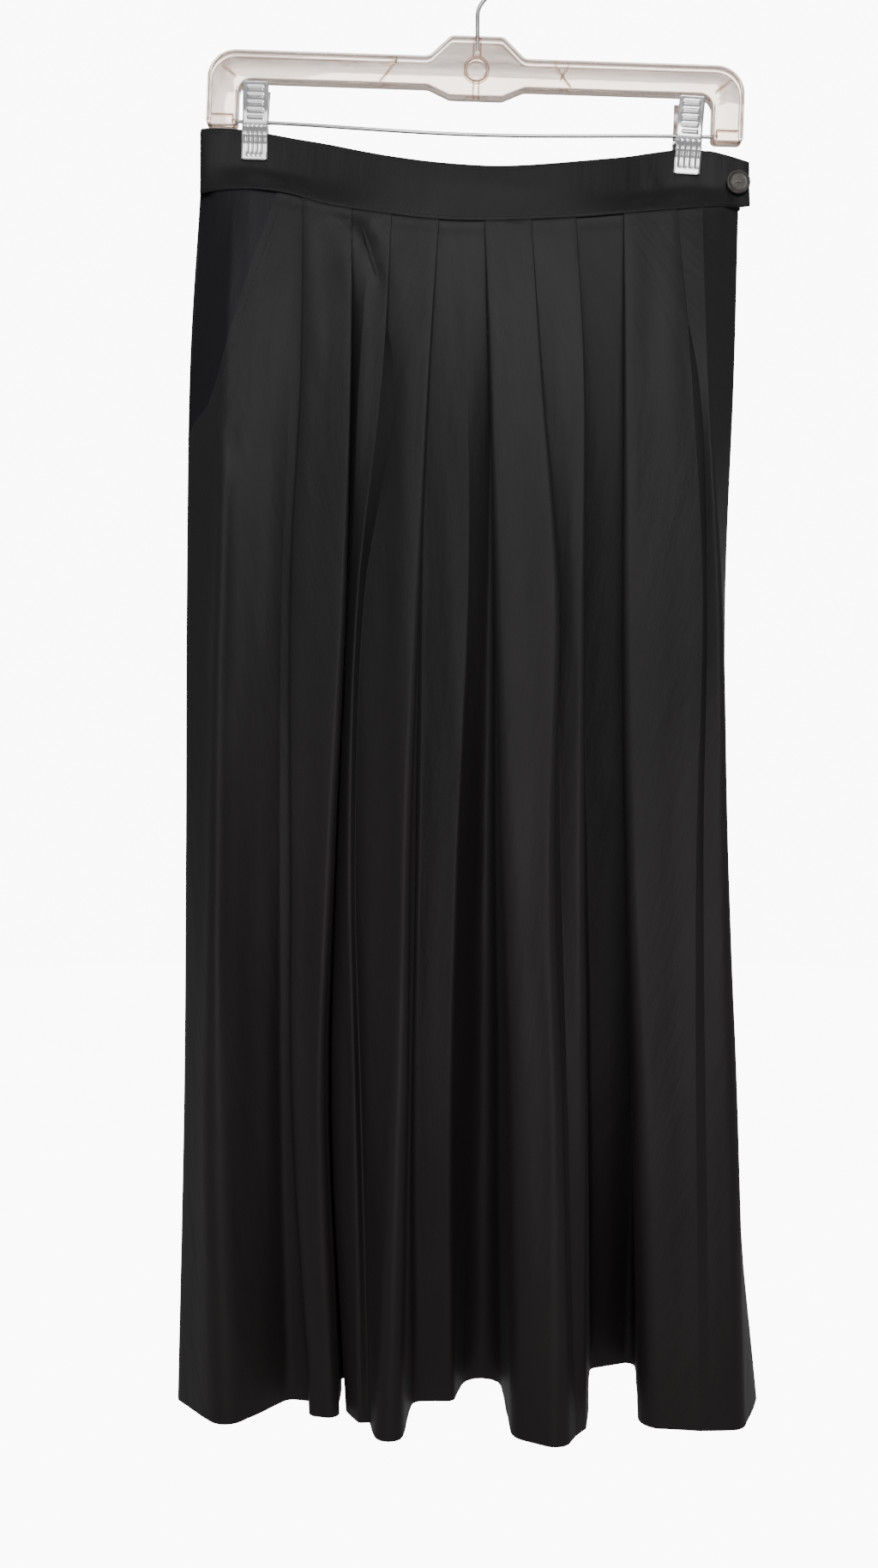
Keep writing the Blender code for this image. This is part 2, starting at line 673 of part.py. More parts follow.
def make_hook():
    """Wire hook: a stem, a neck that leans right and a round crook over the top."""
    centre_z = HOOK_HEIGHT + WIRE_RADIUS - HOOK_RADIUS
    join = (HOOK_RADIUS * math.cos(HOOK_JOIN), centre_z + HOOK_RADIUS * math.sin(HOOK_JOIN))
    pull = 10.0
    handles = (
        (0.0, NECK_START),
        (0.0, NECK_START + pull),
        (join[0] + pull * math.sin(HOOK_JOIN), join[1] - pull * math.cos(HOOK_JOIN)),
        join,
    )
    path = [(0.0, 0.0, z) for z in (-STEM_DEPTH, -3.0, 4.0, 10.0)]
    neck_steps = 6
    for k in range(neck_steps):
        t = k / neck_steps
        weights = ((1 - t) ** 3, 3 * t * (1 - t) ** 2, 3 * t * t * (1 - t), t ** 3)
        x = sum(w * h[0] for w, h in zip(weights, handles))
        z = sum(w * h[1] for w, h in zip(weights, handles))
        path.append((x, 0.0, z))
    crook_steps = 20
    for k in range(crook_steps + 1):
        angle = HOOK_JOIN + (HOOK_TIP - HOOK_JOIN) * k / crook_steps
        path.append((HOOK_RADIUS * math.cos(angle), 0.0, centre_z + HOOK_RADIUS * math.sin(angle)))
    wire("hanger_hook", path, WIRE_RADIUS, "chrome")


def rod_height(x):
    """Height of the rod before the hanger's tilt: it bows a little between its ends."""
    return ROD_HEIGHT - ROD_BOW * math.sin(math.pi * (x + ROD_REACH) / (2 * ROD_REACH)) ** 2


def make_rod():
    steps = 16
    stations = [ROD_REACH * (2 * k / steps - 1) for k in range(steps + 1)]
    wire("hanger_rod", [tilted(x, 0.0, rod_height(x)) for x in stations], ROD_RADIUS, "chrome")


def jaw_profile(side):
    """Side view of a jaw plate about the rod: finger grip, bend and gripping lip.

    side is -1 for the front jaw and 1 for the rear one.
    """
    waist = ROD_RADIUS + WIRE_CLEARANCE + 1.3 + CLIP_PLATE / 2
    lip = JAW_FACE + CLIP_PLATE / 2
    line = [(7.0, 24.0), (waist, 4.0), (waist, -4.0), (lip + 1.6, -10.0), (lip, -16.0), (lip, -26.5)]
    return [(side * y, z) for y, z in line]


def make_jaw(clip, side):
    """One jaw: a bent plate with two ears that hang on the rod."""
    end = "front" if side < 0 else "rear"
    name = f"clip_{clip.name}_{end}"
    half = CLIP_WIDTH / 2 if side < 0 else CLIP_WIDTH / 2 - 0.4
    line = jaw_profile(side)
    builder = bmesh.new()
    ring = []
    for offset in (-CLIP_PLATE / 2, CLIP_PLATE / 2):
        edge = []
        for i, (y, z) in enumerate(line):
            a = Vector(line[max(i - 1, 0)])
            b = Vector(line[min(i + 1, len(line) - 1)])
            along = (b - a).normalized()
            edge.append((y - offset * along.y, z + offset * along.x))
        ring.extend(edge if offset < 0 else reversed(edge))
    ends = []
    for x in (-half, half):
        ends.append([builder.verts.new(Vector((x, y, z)) * MM) for y, z in ring])
    count = len(ring)
    for k in range(count):
        n = (k + 1) % count
        builder.faces.new((ends[0][k], ends[0][n], ends[1][n], ends[1][k]))
    builder.faces.new(ends[0])
    builder.faces.new(ends[1])
    jaw = finish_mesh(name, builder, "chrome", smooth_angle=40)

    ear_x = half - EAR_THICK / 2 - 0.3 if side < 0 else half - EAR_THICK * 1.5 - 0.4
    root = side * (ROD_RADIUS + WIRE_CLEARANCE + 1.3 + CLIP_PLATE / 2)
    reach = -side * EAR_REACH
    for ear_side in (-1, 1):
        ear_builder = bmesh.new()
        size = Matrix.Diagonal((EAR_THICK * MM, abs(root - reach) * MM, 2 * EAR_HALF_HEIGHT * MM, 1.0))
        place = Matrix.Translation(Vector((ear_side * ear_x, (root + reach) / 2, 0.0)) * MM)
        bmesh.ops.create_cube(ear_builder, size=1.0, matrix=place @ size)
        ear = finish_mesh(f"{name}_ear_{ear_side + 1}", ear_builder, "chrome")
        ear.hide_render = True
        ear.display_type = "WIRE"
        ear.parent = jaw
        cut(jaw, ear, "UNION")
    hole = cylinder(f"{name}_hole", Vector((0, 0, 0)), ROD_RADIUS + EAR_CLEARANCE, CLIP_WIDTH + 4, "X", 12)
    hole.parent = jaw
    cut(jaw, hole)
    jaw.location = to_world(tilted(clip.x, 0.0, rod_height(clip.x)))
    jaw.rotation_euler = (0.0, TILT + clip.lean, 0.0)


def main():
    clear_scene()
    make_skirt()
    make_waistband()
    make_button()
    make_hanger_body()
    make_hook()
    make_rod()
    for clip in CLIPS:
        make_jaw(clip, -1)
        make_jaw(clip, 1)


main()
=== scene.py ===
import math
from collections import namedtuple

import bmesh
import bpy
from mathutils import Matrix, Vector, noise


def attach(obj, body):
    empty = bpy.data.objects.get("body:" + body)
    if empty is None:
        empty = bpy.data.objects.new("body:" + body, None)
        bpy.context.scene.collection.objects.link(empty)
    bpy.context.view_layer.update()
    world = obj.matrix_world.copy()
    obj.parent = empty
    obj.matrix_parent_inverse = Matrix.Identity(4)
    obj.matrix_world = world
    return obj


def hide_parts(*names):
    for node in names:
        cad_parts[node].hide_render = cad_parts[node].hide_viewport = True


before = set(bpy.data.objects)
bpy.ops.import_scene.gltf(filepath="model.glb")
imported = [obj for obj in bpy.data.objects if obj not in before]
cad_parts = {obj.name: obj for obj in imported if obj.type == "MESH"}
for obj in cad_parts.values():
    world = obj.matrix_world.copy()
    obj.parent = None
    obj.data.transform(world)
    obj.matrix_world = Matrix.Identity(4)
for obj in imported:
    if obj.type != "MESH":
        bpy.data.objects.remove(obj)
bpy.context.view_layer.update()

# Lengths are millimetres until a mesh is made. Heights are from the top of the hanger's bar.
MM = 0.001

# Cloth and waist seam
CLOTH = 0.34
SEAM_GAP = 0.3
SEAM_TUCK = 2.0
SEAM_FORWARD = 1.15
SEAM_STEP = (-0.8, 0.9)
SEAM_FADE = (150.0, 176.0)
EASE_START = (138.0, 160.0)
EASE_ENDS = (172.0, 161.0)
EASE_WIDTH = 10.0
EASE_DEPTH = 90.0
SLACK_AT_SEAM = 0.12
SLACK_GAIN = 0.95
SLACK_LEVELS = (0.04, 0.7)
SOFT_WAVE = (24.0, 210.0)
FINE_WAVE = (8.0, 70.0)
FINE_SHARE = 0.22
CALM_COLUMNS = 9.0
TOP_STITCH = (2.3, 0.8)
HEM_STITCH = (0.9, 6.5, 0.16)
SIDE_GAP = -0.01
TIGHT_BEND = 0.2
UNDER = 0.8
WAIST_BULGE = 14.0
WAIST_CENTRE = -6.0
WAIST_HALF = 181.0
WAIST_SQUARENESS = 4.0
HEM_HEIGHT = -905.8
HEM_TURN = 30.0
HEM_DOUBLE = 0.55
HEM_STITCH_LEVEL = 0.9615
SEAM_HEIGHT = -120.0
PUFF_HEIGHT = 9.0
PUFF = 0.5
HOOK_HEIGHT = 68.0

# Waistband
BAND = 2.0
BAND_LEFT = -184.8
BAND_PINCHED = 1.35
BAND_TOP_BULGE = 9.0
LAP_START = 154.0
LAP_STATIONS = (LAP_START, 158.0, 162.0, 167.0)
LAP_FOLD = 171.0
LAP_SPREAD = 2.4
TAB_END = 180.0
PINCH_INNER = 9.5
PINCH_OUTER = 48.0
PINCH_MIDDLE = 92.0
PINCH_HOLD = 0.52

# Button
BUTTON_CENTRE = (172.0, -97.5)
BUTTON_RADIUS = 8.0
BUTTON_THICK = 2.6
BUTTON_BEVEL = 1.2
BUTTON_DISH = 0.7
BUTTON_HOLE_STEP = 1.7

# Hanger
TILT = math.radians(1.9)
BAR_HALF = 178.0
BAR_TOP = -14.0
BAR_UNDER = -33.5
BAR_THICK = 9.0
WEB_RECESS = 2.4
PLATE_HALF = 17.5
PLATE_SHOULDER = 32.0
PLATE_UNDER = -40.0
LEG_WIDTH = 21.0
LEG_FOOT = -64.5
RIM_WIDTH = 2.4
BOSS_RADIUS = 8.5
WIRE_RADIUS = 1.4
STEM_DEPTH = 9.0
NECK_START = 15.0
HOOK_RADIUS = 20.0
HOOK_JOIN = math.radians(-40)
HOOK_TIP = math.radians(202)
ROD_RADIUS = 1.15
ROD_HEIGHT = -60.0
ROD_BOW = 3.6
ROD_REACH = 161.5

# Studio, in metres
FLOOR_Z = -1.45
FLOOR_RADIUS = 6.0
SURROUND = 10.0
THROUGH = 2.6
AMBIENT = 0.315
AMBIENT_GLOSS = 0.34
CAMERA_PLACE = (-0.0256, -0.902, -0.5628)
CAMERA_LENS = 31.177

# Clips
CLIP_WIDTH = 17.0
CLIP_PLATE = 1.2
CLIP_WAIST = ROD_RADIUS + 0.3 + 1.3 + CLIP_PLATE / 2
EAR_RADIUS = 3.0
GRIP_RIBS = (19.5, 15.0, 10.5, 6.0, 1.5)
JAW_FACE = BAND_PINCHED + BAND / 2 + SEAM_GAP
Clip = namedtuple("Clip", "name x lean grooves groove_width dots rear_slip")
CLIPS = (
    Clip("left", -145.3, 0.0, (-4.5, -1.5, 1.5, 4.5), 0.6, True, 0.0),
    Clip("right", 142.2, math.radians(2.0), (-5.0, -1.4, 2.3, 6.1), 0.95, False, -1.9),
)

# Shares of the drop at which the fold tables give places across and depths
LEVELS = (0.0, 0.14, 0.32, 0.534, 0.749, 1.0)
DEPTH_LEVELS = (0.0, 0.32, 1.0)

# Edges as (x, height), and the pocket's mouth as (share of the drop, x)
BAND_TOP_EDGE = (
    (-186, -60.8), (-155, -61.2), (-109, -69.9), (-60, -81.5), (0, -88.0),
    (45, -87.0), (90, -81.4), (130, -74.6), (150, -75.0), (165, -78.3),
    (180, -83.0),
)
SEAM_EDGE = (
    (-186, -104.4), (-150, -104.6), (-125, -108.2), (-98, -116.0),
    (-40, -124.5), (0, -126.6), (60, -124.6), (110, -120.2), (180, -112.8),
)

POCKET_MOUTH = ((0.0, -131), (0.075, -152), (0.115, -162), (0.1785, -178.5), (0.1945, -192))
MOUTH_END = POCKET_MOUTH[-1][0]
FACING_END = 0.225
FACING_LAP = 20.0
FACING_SHIFT = 0.6
FACING_START = 2.0
MOUTH_STITCH = 5.0

# Each fold edge in order across a panel: its turn, the side its edge faces, its places across,
# its depth at the seam, lower down and at the hem, and its bend's radius at the hem
RIDGE = 1
HOLLOW = -1
Fold = namedtuple("Fold", "turn faces waist hip thigh knee calf hem tuck thigh_y hem_y bend")
FRONT_FOLDS = [Fold(*row) for row in (
    (RIDGE, -1, -184, -191, -193.5, -194.5, -196, -200.5, 2.9, 2.6, 8, 8),
    (RIDGE, 0, -161, -165.5, -168, -170, -170, -163.5, 0, -10, -18, 13),
    (HOLLOW, 0, -121, -123, -129, -130, -129, -122.5, 0.8, -5, -3, 9),
    (HOLLOW, 1, -101, -102, -109, -111, -110, -99.5, UNDER, 0, -2, 3),
    (RIDGE, -1, -114.6, -116, -123, -123.5, -123, -111, 0, -9, -13, 6.4),
    (RIDGE, 1, -82.5, -83, -86.8, -94.4, -99, -90.8, 0, -15.5, -13.5, 7),
    (HOLLOW, -1, -96.5, -86.5, -88, -95, -100, -92.9, UNDER, 5, 36, 1.8),
    (RIDGE, -1, -70, -78, -84, -91.8, -96.2, -86.9, 0, -10, -9, 5),
    (RIDGE, 1, -56.5, -62.6, -77.6, -82.4, -78.4, -73.1, 0, -16, -24.5, 2.5),
    (HOLLOW, 0, -79, -55, -74.3, -80.5, -76.2, -71.2, UNDER, -9, -28, 1.5),
    (RIDGE, 1, -25.6, -32, -37.8, -43.2, -45, -48.6, 0, -16, -44.0, 9),
    (HOLLOW, 0, -53, -37, -36.5, -38, -40, -37.6, UNDER, -5, -3, 6),
    (RIDGE, 1, -9.6, -6, -5, -11.6, -15.3, -14.6, UNDER, -6, 9, 6),
    (HOLLOW, 0, 18, 9.5, 7.5, 5.5, 4.5, 3.4, UNDER, -4, 25, 13),
    (RIDGE, -1, 4.2, 7.4, 10.3, 14, 17.6, 19.7, 0, -20, -38, 14.5),
    (RIDGE, 1, 34.5, 42, 52, 49.5, 54.5, 57.5, 0, -24, -48.5, 11),
    (HOLLOW, 0, 22.5, 36, 50.5, 53, 57, 61.4, UNDER, -16, -45.5, 1),
    (RIDGE, 1, 63.8, 69.7, 69.4, 68.9, 70.1, 68.4, 0, -18, -32, 8),
    (HOLLOW, 0, 39.3, 66, 71, 76, 81, 86.4, UNDER, 12, 49, 6),
    (HOLLOW, 0, 111.5, 110, 109, 108.5, 108, 106.4, UNDER, 1, 57, 6),
    (RIDGE, -1, 95.3, 95.1, 94.1, 94.6, 99.9, 103.9, 0, -14, -22, 13.5),
    (RIDGE, 1, 130, 139.4, 146, 141, 140, 141, 0, -18, -37.4, 1),
    (HOLLOW, 0, 116.5, 144, 150, 146, 146, 147, UNDER, -13, -39.2, 1),
    (RIDGE, 0, 147, 150, 156.5, 157.5, 160, 162, 0, -12, -28, 10),
    (RIDGE, 1, 173, 170.4, 165, 165.5, 168.5, 187, 2.2, 2.6, 8, 8),
)]
FIRST_FREE_FOLD = 2

BackFold = namedtuple("BackFold", "turn faces waist hem tuck hem_y bend")
BACK_FOLDS = [BackFold(*row) for row in (
    (RIDGE, 1, -117, -141, 0, -84, 14),
    (HOLLOW, 0, -137, -131, UNDER, -58, 6),
    (RIDGE, 1, -86, -96, 0, -94, 12),
    (HOLLOW, 0, -108, -86, UNDER, -74, 7),
    (RIDGE, 1, -55, -48, 0, -88, 13),
    (HOLLOW, 0, -77, -38, UNDER, -68, 6),
    (RIDGE, 1, -24, -2, 0, -96, 14),
    (HOLLOW, 0, -46, 9, UNDER, -66, 8),
    (HOLLOW, 0, 54, 36, UNDER, -62, 7),
    (RIDGE, -1, 34, 45, 0, -86, 12),
    (HOLLOW, 0, 85, 81, UNDER, -60, 6),
    (RIDGE, -1, 65, 89, 0, -92, 14),
    (HOLLOW, 0, 116, 127, UNDER, -58, 6),
    (RIDGE, -1, 96, 136, 0, -84, 12),
    (HOLLOW, 0, 147, 167, UNDER, -52, 4),
    (RIDGE, -1, 127, 172, 0, -66, 11),
)]

# Soft troughs (depth below 0) and ridges on the panels, each along a line in x and height
Crease = namedtuple("Crease", "x0 z0 x1 z1 width depth")
FRONT_CREASES = [Crease(*row) for row in (
    (-96, -124, -81, -130, 4.0, -1.8), (-81, -130, -72, -148, 4.4, -2.6),
    (-72, -148, -64, -170, 4.6, -2.2), (-73, -125, -62, -142, 4.6, 1.8),
    (-90, -140, -84, -174, 4.5, 1.0), (-120, -138, -127, -520, 5, -0.6),
    (6, -123, 34, -129, 1.5, -0.6), (6, -126, 34, -132, 1.5, 0.5),
    (46, -137, 63, -141, 1.6, -0.7), (48, -133, 62, -138, 2.0, 0.5),
    (-158, -262, -168, -282, 4, -1.4), (-166, -286, -170, -430, 5, 2.0),
    (-170, -400, -171, -680, 5, 1.7), (-145, -150, -149, -330, 9, 0.35),
    (-134, -200, -139, -420, 6, 0.7), (-110, -125, -109, -170, 3.5, 1.2),
    (-107, -170, -103, -230, 4, 0.9), (-100, -140, -104, -330, 6, -0.6),
    (-82, -150, -74, -200, 5, 1.1), (-74, -200, -79, -300, 5, 0.9),
    (-45, -135, -44, -220, 6, -0.6), (-46, -170, -50, -560, 9, 2.4),
    (-62, -360, -60, -700, 9, -0.9), (-12, -130, -13, -240, 7, -0.6),
    (-22, -300, -14, -470, 5, 0.8), (22, -140, 26, -260, 6, 0.7),
    (30, -250, 34, -560, 8, -0.8), (20, -420, 30, -800, 7, 0.9),
    (47, -150, 55, -260, 4, 0.7), (60, -260, 62, -430, 4, 0.7),
    (103, -128, 101, -200, 5, 0.9), (112, -180, 112, -330, 7, -0.6),
    (124, -135, 128, -300, 5, 0.9), (118, -330, 119, -560, 9, 0.6),
    (125, -500, 133, -840, 11, -0.9), (-150, -480, -146, -850, 9, -0.9),
    (-139, -560, -136, -880, 6, 0.7), (-112, -420, -112, -820, 8, -0.6),
    (-50, -640, -55, -880, 6, 0.7), (40, -640, 44, -890, 6, -0.8),
)]
BACK_CREASES = [Crease(*row) for row in (
    (-20, -123, -8, -130, 3, -0.7), (60, -128, 72, -138, 3, -0.7),
    (-100, -150, -104, -380, 7, -0.8), (-66, -140, -70, -300, 5, 0.9),
    (-30, -200, -28, -560, 9, -0.8), (8, -160, 6, -330, 6, 0.8),
    (30, -300, 36, -700, 8, -0.8), (74, -150, 78, -360, 6, 0.8),
    (110, -220, 118, -600, 8, -0.8), (150, -260, 158, -620, 9, 0.8),
    (-150, -300, -156, -700, 9, -0.8),
)]
BAND_CREASES = [Crease(*row) for row in (
    (-98, -92, -78, -93, 4, -0.35), (113, -92, 121, -109, 3, 0.45),
    (122, -90, 128, -110, 3, -0.35), (-30, -100, 40, -104, 7, 0.3),
)]


def to_world(point):
    """A point in millimetres from the bar's top, in metres from the hook's seat."""
    x, y, z = point
    return Vector((x, y, z - HOOK_HEIGHT)) * MM


def smooth_along(stations, values, at):
    """Value at one station of a smooth curve through all of them."""
    last = len(stations) - 1
    at = min(max(at, stations[0]), stations[last])
    i = 0
    while i < last - 1 and at > stations[i + 1]:
        i += 1

    def slope(k):
        low = max(k - 1, 0)
        high = min(k + 1, last)
        return (values[high] - values[low]) / (stations[high] - stations[low])

    span = stations[i + 1] - stations[i]
    t = (at - stations[i]) / span
    rise = values[i + 1] - values[i]
    start = slope(i) * span
    end = slope(i + 1) * span
    return values[i] + t * (start + t * ((3 * rise - 2 * start - end) + t * (start + end - 2 * rise)))


def edge_height(edge, x):
    return smooth_along(*zip(*edge), x)


def waist_face(x):
    off = min(abs(x - WAIST_CENTRE) / WAIST_HALF, 1.0)
    return -WAIST_BULGE * math.sqrt(1.0 - off ** WAIST_SQUARENESS)


def smooth_step(low, high, value):
    t = min(max((value - low) / (high - low), 0.0), 1.0)
    return t * t * (3.0 - 2.0 * t)


Stop = namedtuple("Stop", "x y radius turn")


def front_stops(down):
    stops = []
    for fold in FRONT_FOLDS:
        radius = TIGHT_BEND + (fold.bend - TIGHT_BEND) * down
        tip = smooth_along(LEVELS, (fold.waist, fold.hip, fold.thigh, fold.knee, fold.calf, fold.hem), down)
        seam_y = waist_face(fold.waist) + fold.tuck + fold.turn * TIGHT_BEND
        y = smooth_along(DEPTH_LEVELS, (seam_y, fold.thigh_y, fold.hem_y), down)
        stops.append(Stop(tip - fold.faces * radius, y, radius, fold.turn))
    return stops


def back_stops(down):
    sides = [Stop(-s.x, -s.y - SIDE_GAP, s.radius, RIDGE) for s in front_stops(down)]
    stops = [sides[-1]]
    for fold in BACK_FOLDS:
        radius = TIGHT_BEND + (fold.bend - TIGHT_BEND) * down
        tip = fold.waist + (fold.hem - fold.waist) * down
        seam_y = waist_face(-fold.waist) + fold.tuck + fold.turn * TIGHT_BEND
        y = seam_y + (fold.hem_y - seam_y) * down
        stops.append(Stop(tip - fold.faces * radius, y, radius, fold.turn))
    stops.append(sides[0])
    return stops


def wrap(stops, steps=6, between=6):
    """Cloth section drawn tight round each stop in turn, as lists of (x, y, heading)."""
    headings = [-math.pi / 2]
    for a, b in zip(stops, stops[1:]):
        dx = b.x - a.x
        dy = b.y - a.y
        shift = (b.turn * b.radius - a.turn * a.radius) / math.hypot(dx, dy)
        headings.append(math.atan2(dy, dx) - math.asin(max(-1.0, min(1.0, shift))))
    headings.append(math.pi / 2)
    groups = []
    heading = headings[0]
    for i, stop in enumerate(stops):
        turned = (headings[i + 1] - headings[i]) * stop.turn
        turned = (turned + math.pi / 2) % (2 * math.pi) - math.pi / 2
        arc = []
        for k in range(steps + 1):
            angle = heading + stop.turn * turned * k / steps
            bend = stop.turn * stop.radius
            arc.append((stop.x + bend * math.sin(angle), stop.y - bend * math.cos(angle), angle))
        heading = arc[-1][2]
        groups.append(arc)
    for group, following in zip(groups, groups[1:]):
        a = group[-1]
        b = following[0]
        for k in range(1, between + 1):
            t = k / (between + 1)
            group.append((a[0] + (b[0] - a[0]) * t, a[1] + (b[1] - a[1]) * t, a[2]))
    return groups


def lengths_along(points):
    total = [0.0]
    for a, b in zip(points, points[1:]):
        total.append(total[-1] + math.hypot(b[0] - a[0], b[1] - a[1]))
    return total


def point_at(points, lengths, distance):
    i = 0
    while i < len(points) - 2 and lengths[i + 1] < distance:
        i += 1
    t = (distance - lengths[i]) / max(lengths[i + 1] - lengths[i], 1e-9)
    return tuple(a + (b - a) * t for a, b in zip(points[i], points[i + 1]))


def mouth_distance(points, lengths, down):
    if down >= MOUTH_END:
        return 0.0
    target = smooth_along(*zip(*POCKET_MOUTH), down)
    for i in range(1, len(points)):
        if points[i][0] >= target:
            step = points[i][0] - points[i - 1][0]
            part = (target - points[i - 1][0]) / max(step, 1e-9)
            return lengths[i - 1] + max(part, 0.0) * (lengths[i] - lengths[i - 1])
    return lengths[-1]


def side_path(down):
    """The front's section, its stretch from the side seam to the first free fold, and the mouth on that."""
    groups = wrap(front_stops(down))
    side = [point for group in groups[:FIRST_FREE_FOLD] for point in group] + [groups[FIRST_FREE_FOLD][0]]
    lengths = lengths_along(side)
    return groups, side, lengths, mouth_distance(side, lengths, down)


def front_row(down, columns=26):
    groups, side, lengths, start = side_path(down)
    row = [point_at(side, lengths, start + (lengths[-1] - start) * k / columns) for k in range(columns)]
    return row + [point for group in groups[FIRST_FREE_FOLD:] for point in group]


def facing_row(down, columns=28):
    _, side, lengths, start = side_path(down)
    width = min(start + FACING_LAP, lengths[-1]) - FACING_START
    near = [point_at(side, lengths, FACING_START + width * k / columns) for k in range(columns + 1)]
    return [(x + FACING_SHIFT, y + FACING_SHIFT, heading) for x, y, heading in near]


def back_row(down):
    row = [point for group in wrap(back_stops(down), between=5) for point in group]
    return [(-x, -y, heading + math.pi) for x, y, heading in row]


def hang_row(row, down):
    hung = []
    for x, y, heading in row:
        top = edge_height(SEAM_EDGE, x) + SEAM_TUCK
        hung.append((x, y, top + (HEM_HEIGHT - top) * down, heading))
    return hung


def crease_push(creases, x, z):
    """How far the creases move the cloth out at one place."""
    push = 0.0
    for c in creases:
        reach = 2.5 * c.width
        near = (min(c.x0, c.x1) - reach < x < max(c.x0, c.x1) + reach
                and min(c.z0, c.z1) - reach < z < max(c.z0, c.z1) + reach)
        if not near:
            continue
        dx = c.x1 - c.x0
        dz = c.z1 - c.z0
        span = dx * dx + dz * dz
        t = min(max(((x - c.x0) * dx + (z - c.z0) * dz) / span, 0.0), 1.0)
        off = math.hypot(x - c.x0 - dx * t, z - c.z0 - dz * t)
        fade = math.sin(math.pi * (0.12 + 0.76 * t))
        push += c.depth * fade * math.exp(-(off / c.width) ** 2)
    return push


def seam_forward(x, y, below, facing):
    """How far the cloth moves out below the band to meet its edge, fading at the side seams."""
    forward = SEAM_FORWARD * smooth_step(*SEAM_STEP, below) * (1.0 - smooth_step(*SEAM_FADE, abs(x)))
    behind = max(0.0, y * facing - waist_face(x))
    end = EASE_ENDS[x >= 0]
    near_side = smooth_step(*EASE_START, abs(x)) * (1.0 - smooth_step(end, end + EASE_WIDTH, abs(x)))
    return forward + behind * near_side * (1.0 - smooth_step(0.0, EASE_DEPTH, below))


def unevenness(x, y, z, wave, shift):
    across, along = wave
    return noise.noise(Vector((x / across, y / across + shift, z / along)))


def crumple(rows, levels, creases, facing):
    """The hung rows, moved out or in by their creases and soft unevenness."""
    moved = []
    for down, row in zip(levels, rows):
        slack = SLACK_AT_SEAM + SLACK_GAIN * smooth_step(*SLACK_LEVELS, down)
        line = []
        for c, (x, y, z, heading) in enumerate(row):
            seen = smooth_step(0.25, 0.8, math.cos(heading) * facing)
            inside = smooth_step(0.0, CALM_COLUMNS, min(c, len(row) - 1 - c))
            push = seen * crease_push(creases, x, z) * (0.55 + 0.45 * smooth_step(0.0, 0.15, down))
            soft = unevenness(x, y, z, SOFT_WAVE, facing * 9.0)
            fine = unevenness(x, y, z, FINE_WAVE, -facing * 5.0)
            push += inside * slack * (soft + FINE_SHARE * fine)
            below = edge_height(SEAM_EDGE, x) - z
            if 0.0 < below < PUFF_HEIGHT:
                puff = math.sin(math.pi * below / PUFF_HEIGHT) * PUFF
                push += seen * puff * (0.75 + 0.5 * noise.noise(Vector((x / 14.0, 3.0, facing))))
            forward = seam_forward(x, y, below, facing) * facing
            line.append((x + push * math.sin(heading), y - push * math.cos(heading) - forward, z, heading))
        moved.append(line)
    return moved


def add_object(name, data):
    item = bpy.data.objects.new(name, data)
    bpy.context.collection.objects.link(item)
    return item


def add_piece(mesh, slot, *nodes):
    """Puts a mesh on the one body, standing for the solid's nodes that it replaces."""
    item = add_object(mesh.name, mesh)
    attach(item, "root")
    if nodes:
        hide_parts(*nodes)
    return item


def bridge(builder, a, b):
    """Faces between two closed rings of vertices."""
    for k in range(len(a)):
        n = (k + 1) % len(a)
        builder.faces.new((a[k], a[n], b[n], b[k]))


def finish_mesh(name, builder, material, smooth_angle=60):
    bmesh.ops.recalc_face_normals(builder, faces=builder.faces)
    mesh = bpy.data.meshes.new(name)
    builder.to_mesh(mesh)
    builder.free()
    mesh.materials.append(material)
    mesh.shade_smooth()
    mesh.set_sharp_from_angle(angle=math.radians(smooth_angle))
    return mesh


def close_sheet(face, last_row, last_column):
    """Calls face with the corners, each (side, row, column), of a sheet's two sides and its edges."""
    for r in range(last_row):
        for c in range(last_column):
            face(((0, r, c), (0, r + 1, c), (0, r + 1, c + 1), (0, r, c + 1)))
            face(((1, r, c), (1, r, c + 1), (1, r + 1, c + 1), (1, r + 1, c)))
        for c in (0, last_column):
            face(((0, r, c), (1, r, c), (1, r + 1, c), (0, r + 1, c)))
    for r in (0, last_row):
        for c in range(last_column):
            face(((0, r, c), (0, r, c + 1), (1, r, c + 1), (1, r, c)))


def shell(name, rows, thickness, material, smooth_angle=60):
    """A thin closed sheet round rows of (x, y, z, heading), with the cloth's own lengths as UVs.

    thickness(r, c) gives (out, in) at row r and column c.
    """
    builder = bmesh.new()
    uv_layer = builder.loops.layers.uv.new("cloth")
    sides = ([], [])
    places = []
    middle = len(rows[0]) // 2
    for r, row in enumerate(rows):
        along = lengths_along(row)
        places.append([((a - along[middle]) * MM, row[c][2] * MM) for c, a in enumerate(along)])
        lines = ([], [])
        for c, (x, y, z, heading) in enumerate(row):
            out, inward = thickness(r, c)
            for line, off in zip(lines, (out, -inward)):
                point = (x + off * math.sin(heading), y - off * math.cos(heading), z)
                line.append(builder.verts.new(to_world(point)))
        for side, line in zip(sides, lines):
            side.append(line)

    def face(corners):
        made = builder.faces.new([sides[s][r][c] for s, r, c in corners])
        for loop, (_, r, c) in zip(made.loops, corners):
            loop[uv_layer].uv = places[r][c]

    close_sheet(face, len(rows) - 1, len(rows[0]) - 1)
    return finish_mesh(name, builder, material, smooth_angle)


# Materials

